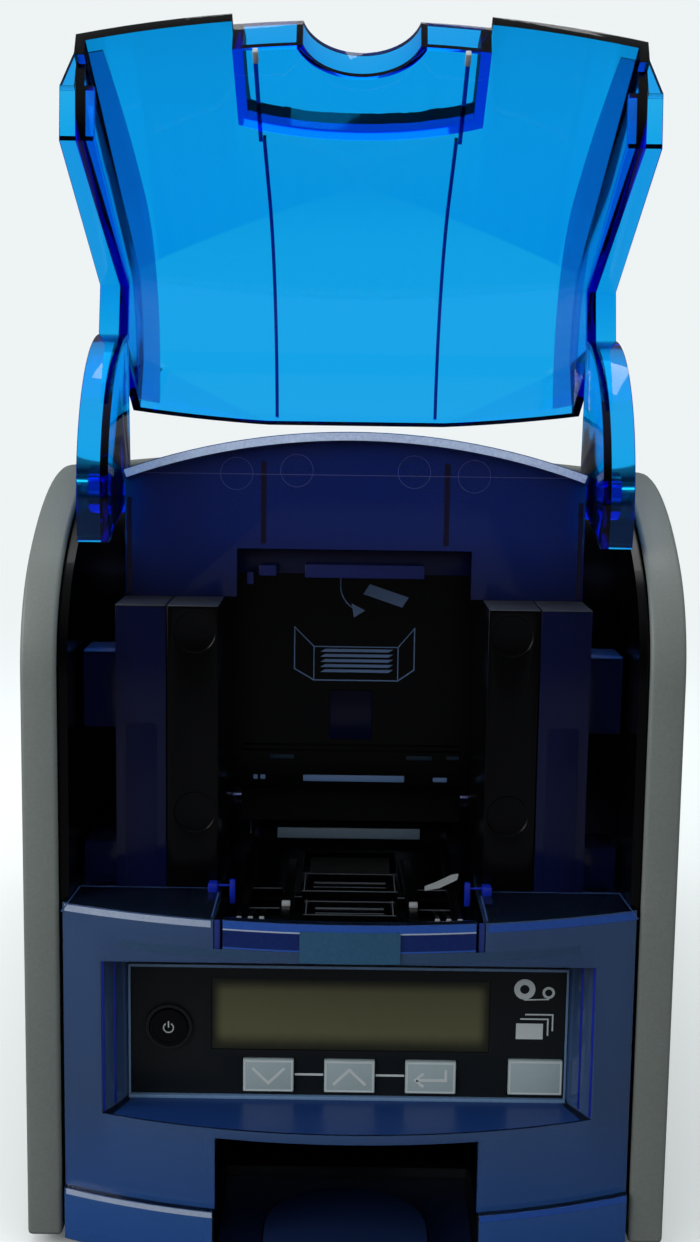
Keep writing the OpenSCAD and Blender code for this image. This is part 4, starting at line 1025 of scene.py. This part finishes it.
@dataclass
class CoverDetails:
    """Ribs on the cover's inside and the bright edges of its flanges, drawn closed and swung open with it."""

    lid_r: float = 277.0
    lid_bulge: float = 19.7
    crest: float = 222.5
    arch_r: float = 260.0
    brim_r: float = 60.0
    back_edge: float = 27.2
    foot: float = 99.6
    bend: float = 0.38
    wall: float = 2.5

    def opened(self) -> Matrix:
        """The turn that swings a closed cover's pieces to where the cover rests open."""
        joint = next(j for j in frame["record"]["behaviour"]["joints"] if j["name"] == "cover_hinge")
        pivot = Vector(joint["pos_m"])
        turn = Matrix.Rotation(-math.radians(joint["range_deg"][1]), 4, "X")
        return Matrix.Translation(pivot) @ turn @ Matrix.Translation(-pivot)

    def front(self, x: float, inset: float) -> float:
        """The closed cover's front at a width, as a depth."""
        return self.lid_r - self.lid_bulge - math.sqrt((self.lid_r - inset) ** 2 - x * x)

    def inner_point(self, x: float, along: float, inset: float) -> Pair:
        """A point of the closed cover's inner surface.

        Args:
            x: The point's width.
            along: 0 at the front's foot, 1 at the top's back edge.
            inset: How far it lies inside the outer surface.

        Returns:
            Its depth and height.
        """
        front = self.front(x, inset)
        radius = self.brim_r - inset
        centre = self.crest - self.arch_r + math.sqrt((self.arch_r - inset) ** 2 - x * x) - radius
        if along < self.bend:
            return front, self.foot + (centre - self.foot) * along / self.bend
        last = math.acos((self.back_edge - front - radius) / radius)
        angle = math.pi - (math.pi - last) * (along - self.bend) / (1 - self.bend)
        return front + radius + radius * math.cos(angle), centre + radius * math.sin(angle)

    def strip(self, shape: Shape, left: Callable[[float], float], right: Callable[[float], float], inset: Pair, start: float = 0.0) -> None:
        """Lays a strip along the cover's inner surface.

        Args:
            shape: The mesh that takes it.
            left: The strip's left end, at each part of the way along the cover.
            right: Its right end.
            inset: How far its outer and inner face lie inside the cover's outer surface.
            start: Where it starts along the cover.
        """
        steps = 30
        sections = []
        for i in range(steps + 1):
            along = start + (1 - start) * i / steps
            corners = ((left(along), inset[0]), (right(along), inset[0]), (right(along), inset[1]), (left(along), inset[1]))
            sections.append([place(x, *self.inner_point(x, along, deep)) for x, deep in corners])
        shape.sweep(sections)

    def build(self) -> None:
        """Makes the ribs, painted highlights on their ends, the side bands and the flanges' shoulders."""
        under = (self.wall + 0.03, self.wall + 1.4)
        ribs = Shape()
        self.strip(ribs, lambda t: 26.4 - 2.6 * t, lambda t: 27.4 - 2.6 * t, under, 0.24)
        pocket = self.front(26.8, 8.05)
        ribs.slab([(pocket, 99.6), (pocket, 133.0), (pocket + 1.2, 133.0), (pocket + 1.2, 99.6)], (26.2, 27.3))
        ribs.both_sides()
        ribs.turned(self.opened()).piece("cover_ribs", Finish.SKY_EDGE, "cover", "sky_blue_clear_abs")
        ends = Shape()
        # Pale blocks at the ribs' lower ends: painted highlights where the clear ribs end.
        ends.block((26.0, 27.4), (pocket - 0.1, pocket + 1.4), (99.2, 103.4), 0.2)
        ends.both_sides()
        ends.turned(self.opened()).piece("cover_rib_end_highlights", Finish.PALE_PRINT, "cover", "sky_blue_clear_abs")
        bands = Shape()
        self.strip(bands, lambda t: 59.7 + 5.1 * (1 - t) ** 3, lambda t: 68.3 - 0.2 * t, (self.wall + 0.03, self.wall + 0.4))
        bands.both_sides()
        bands.turned(self.opened()).piece("cover_side_bands", Finish.SKY_BAND, "cover", "sky_blue_clear_abs")
        shoulders = Shape()
        corners = ((71.2, -10.0, 98.9), (74.5, 2.7, 98.9), (70.8, 2.7, 98.9))
        shoulders.thicken([shoulders.mesh.verts.new(place(*corner)) for corner in corners], Vector((0, 0, mm(2.5))))
        shoulders.both_sides()
        shoulders.turned(self.opened()).piece("cover_shoulders", Finish.SKY_CLEAR, "cover", "sky_blue_clear_abs")


@dataclass
class Studio:
    """The camera at the photograph's place, a white floor and soft lamps."""

    photo_size: tuple[int, int] = (700, 1242)
    focal_px: float = 1600.0
    sensor_mm: float = 36.0
    stand_off: float = 413.0
    camera_x: float = -1.0
    camera_z: float = 233.8
    pitch_deg: float = 8.0
    roll_deg: float = 0.8
    backdrop: str = "EEF3F4"
    fill: float = 1.4
    lit_floor: Pair = (350.0, 1300.0)

    def build(self) -> None:
        """Sets up the camera, the stage and the light."""
        self.add_camera()
        self.add_floor()
        self.add_world()
        self.add_lamps()
        bpy.context.scene.view_settings.view_transform = "Standard"

    def add_camera(self) -> None:
        """Stands the camera ahead of the printer, a little over its roof and tipped down."""
        data = bpy.data.cameras.new("camera")
        data.sensor_width = self.sensor_mm
        data.lens = self.sensor_mm * self.focal_px / max(self.photo_size)
        camera = bpy.data.objects.new("camera", data)
        turn = Euler((math.radians(90 - self.pitch_deg), 0, 0)).to_matrix() @ Euler((0, 0, math.radians(self.roll_deg))).to_matrix()
        camera.matrix_world = Matrix.Translation(place(self.camera_x, -self.stand_off, self.camera_z)) @ turn.to_4x4()
        bpy.context.scene.collection.objects.link(camera)
        bpy.context.scene.camera = camera

    def add_floor(self) -> None:
        """Lays a pale floor under the printer."""
        shape = bmesh.new()
        bmesh.ops.create_grid(shape, x_segments=1, y_segments=1, size=4.0)
        floor = bpy.data.objects.new("floor", finished(shape))
        bpy.context.scene.collection.objects.link(floor)
        floor.data.materials.append(self.floor_material())

    def floor_material(self) -> bpy.types.Material:
        """White board that is as bright as the backdrop where it is seen, and dim where it lights."""
        material = blank_material("white_board")
        path = add_node(material, "LightPath").outputs
        seen = add_node(material, "Math", {"operation": "MAXIMUM"}, _0=path["Is Camera Ray"], _1=path["Is Transmission Ray"])
        where = add_node(material, "TexCoord").outputs["Object"]
        distance = add_node(material, "VectorMath", {"operation": "LENGTH"}, _0=where)
        far = add_node(
            material, "MapRange", {"interpolation_type": "SMOOTHSTEP"}, Value=distance.outputs["Value"],
            From_Min=mm(self.lit_floor[0]), From_Max=mm(self.lit_floor[1]),
        )
        lit = add_node(material, "BsdfDiffuse", Color=linear("D8DADA"))
        glow = add_node(material, "Emission", Color=linear(self.backdrop), Strength=1.0)
        shown = add_node(material, "MixShader", Fac=far.outputs["Result"], _1=lit.outputs["BSDF"], _2=glow.outputs["Emission"])
        board = add_node(material, "BsdfDiffuse", Color=linear("505054"))
        mix = add_node(material, "MixShader", Fac=seen.outputs[0], _1=board.outputs["BSDF"], _2=shown.outputs["Shader"])
        add_node(material, "OutputMaterial", Surface=mix.outputs["Shader"])
        return material

    def add_world(self) -> None:
        """A dim room in front and a bright one behind, which shows white behind and through the printer."""
        world = bpy.data.worlds.new("studio")
        bpy.context.scene.world = world
        world.use_nodes = True
        world.cycles.sampling_method = "NONE"
        world.node_tree.nodes.clear()
        path = add_node(world, "LightPath").outputs
        towards = add_node(world, "SeparateXYZ", Vector=add_node(world, "TexCoord").outputs["Generated"]).outputs
        behind = add_node(world, "MapRange", Value=towards["Y"], From_Min=-0.3, From_Max=0.9, To_Min=0.02, To_Max=0.14)
        above = add_node(world, "MapRange", Value=towards["Z"], From_Min=0.3, From_Max=1.0, To_Max=0.3)
        mirrored = add_node(world, "Math", {"operation": "ADD"}, _0=behind.outputs["Result"], _1=above.outputs["Result"])
        sheen = add_node(world, "Math", {"operation": "MULTIPLY"}, _0=mirrored.outputs[0], _1=path["Is Glossy Ray"])
        fill = add_node(world, "Math", {"operation": "MULTIPLY_ADD"}, _0=path["Is Diffuse Ray"], _1=self.fill, _2=sheen.outputs[0])
        seen = add_node(world, "Math", {"operation": "MAXIMUM"}, _0=path["Is Camera Ray"], _1=path["Is Transmission Ray"])
        strength = add_node(world, "Mix", {"data_type": "FLOAT"}, Factor=seen.outputs[0], _2=fill.outputs[0], _3=1.0)
        light = add_node(world, "Background", Color=linear(self.backdrop), Strength=strength.outputs[0])
        add_node(world, "OutputWorld", Surface=light.outputs["Background"])

    def add_lamps(self) -> None:
        """Hangs a large soft lamp over the front and one on the left."""
        for name, x, depth, z, size, power in (
            ("over_lamp", 60, 250, 1200, 600, 4.0),
            ("left_window", -700, -350, 420, 420, 4.0),
        ):
            data = bpy.data.lights.new(name, "AREA")
            data.size = mm(size)
            data.energy = power
            lamp = bpy.data.objects.new(name, data)
            lamp.location = place(x, depth, z)
            aim = place(0, 80, 150) - lamp.location
            lamp.rotation_euler = aim.to_track_quat("-Z", "Y").to_euler()
            bpy.context.scene.collection.objects.link(lamp)


@dataclass
class Carried:
    """The nodes that the frame carries over, each with its finish."""

    mouth_half: float = 35.4
    tongue_depth: float = 18.0
    tongue_r: float = 22.4
    tongue_top: float = 14.0

    rounded: dict[str, Dress] = field(default_factory=lambda: {
        "side_panel_left": Dress(Finish.GREY_ABS, 1.2),
        "side_panel_right": Dress(Finish.GREY_ABS, 1.2),
        "front_bezel": Dress(Finish.NAVY_CLEAR, 0.5),
        "output_tray": Dress(Finish.NAVY_CLEAR, 0.5),
        "hopper_frame": Dress(Finish.DEEP_CLEAR, 0.4),
        "hopper_roof": Dress(Finish.DEEP_CLEAR, 0.4),
        "top_cover": Dress(Finish.DEEP_CLEAR, 0.5),
        "cover_panel": Dress(Finish.SKY_CLEAR, 0.4),
        "cover_arm_left": Dress(Finish.SKY_CLEAR, 0.4),
        "cover_arm_right": Dress(Finish.SKY_CLEAR, 0.4),
        "card_tray": Dress(Finish.BLACK_ABS, 0.15, 1),
        "card_guide_left": Dress(Finish.BLACK_ABS, 0.4),
        "card_guide_right": Dress(Finish.BLACK_ABS, 0.4),
        "display_plate": Dress(Finish.SLATE_ABS, 0.2),
        "key_down": Dress(Finish.KEY_ABS, 0.3),
        "key_up": Dress(Finish.KEY_ABS, 0.3),
        "key_enter": Dress(Finish.KEY_ABS, 0.3),
        "key_user": Dress(Finish.KEY_ABS, 0.3),
    })
    finishes: dict[Finish, tuple[str, ...]] = field(default_factory=lambda: {
        Finish.BLACK_ABS: (
            "inner_wall_left", "inner_wall_right", "hopper_back", "output_chute", "power_button",
            "fan_frame", "fan_rotor", "power_inlet", "head_arm", "display_module", "feed_gate",
        ),
        Finish.ZINC: ("base_pan", "engine_plate_left", "engine_plate_right", "engine_ties", "power_supply", "usb_port", "network_port"),
        Finish.DARK_PAINT: ("rear_panel", "drive_motor"),
        Finish.POLISHED: ("rear_screws", "cover_hinge_pins", "top_cover_pins", "head_shaft", "feed_idler", "eject_idler"),
        Finish.RUBBER: ("feet", "pick_roller", "feed_roller", "platen_roller", "eject_roller", "drive_belt"),
        Finish.BOARD: ("display_board", "main_board"),
        Finish.LCD: ("display_window",),
        Finish.RING_ABS: ("power_ring",),
                Finish.BRONZE: ("shaft_bushes", "motor_pulley"),
        Finish.RIBBON: ("supply_spool", "takeup_spool", "ribbon_film"),
        Finish.CERAMIC: ("print_head",),
    })

    def build(self, dresser: Dresser) -> None:
        """Dresses every node.

        Args:
            dresser: Finishes a node by its name.
        """
        shown = {node: dresser.dress(node, how) for node, how in self.rounded.items()}
        self.shade_mouth(shown["output_tray"].data)
        for finish, nodes in self.finishes.items():
            for node in nodes:
                dresser.dress(node, Dress(finish))


    def shade_mouth(self, tray: bpy.types.Mesh) -> None:
        """Paints shade into the output tray's mouth as a near-black finish, and gives it a navy tongue.

        Args:
            tray: The tray's mesh.
        """
        tray.materials.append(Finish.MOUTH_SHADE.material())
        tray.materials.append(Finish.TONGUE.material())
        for face in tray.polygons:
            x, depth, z = face.center.x / MM, (face.center.y - FRONT_Y) / MM, face.center.z / MM
            # Faces in the mouth take the near-black painted shade, and those on the tongue take navy.
            if abs(x) < self.mouth_half:
                on_tongue = math.hypot(x, depth - self.tongue_depth) < self.tongue_r and z < self.tongue_top
                face.material_index = 2 if on_tongue else 1


def main() -> None:
    """Builds the studio and dresses the printer."""
    logging.basicConfig(level=logging.INFO)
    Studio().build()
    Carried().build(Dresser(frame["record"]))
    for details in (Controls(), Hopper(), Edges(), CoverDetails()):
        details.build()


if __name__ == "__main__":
    main()
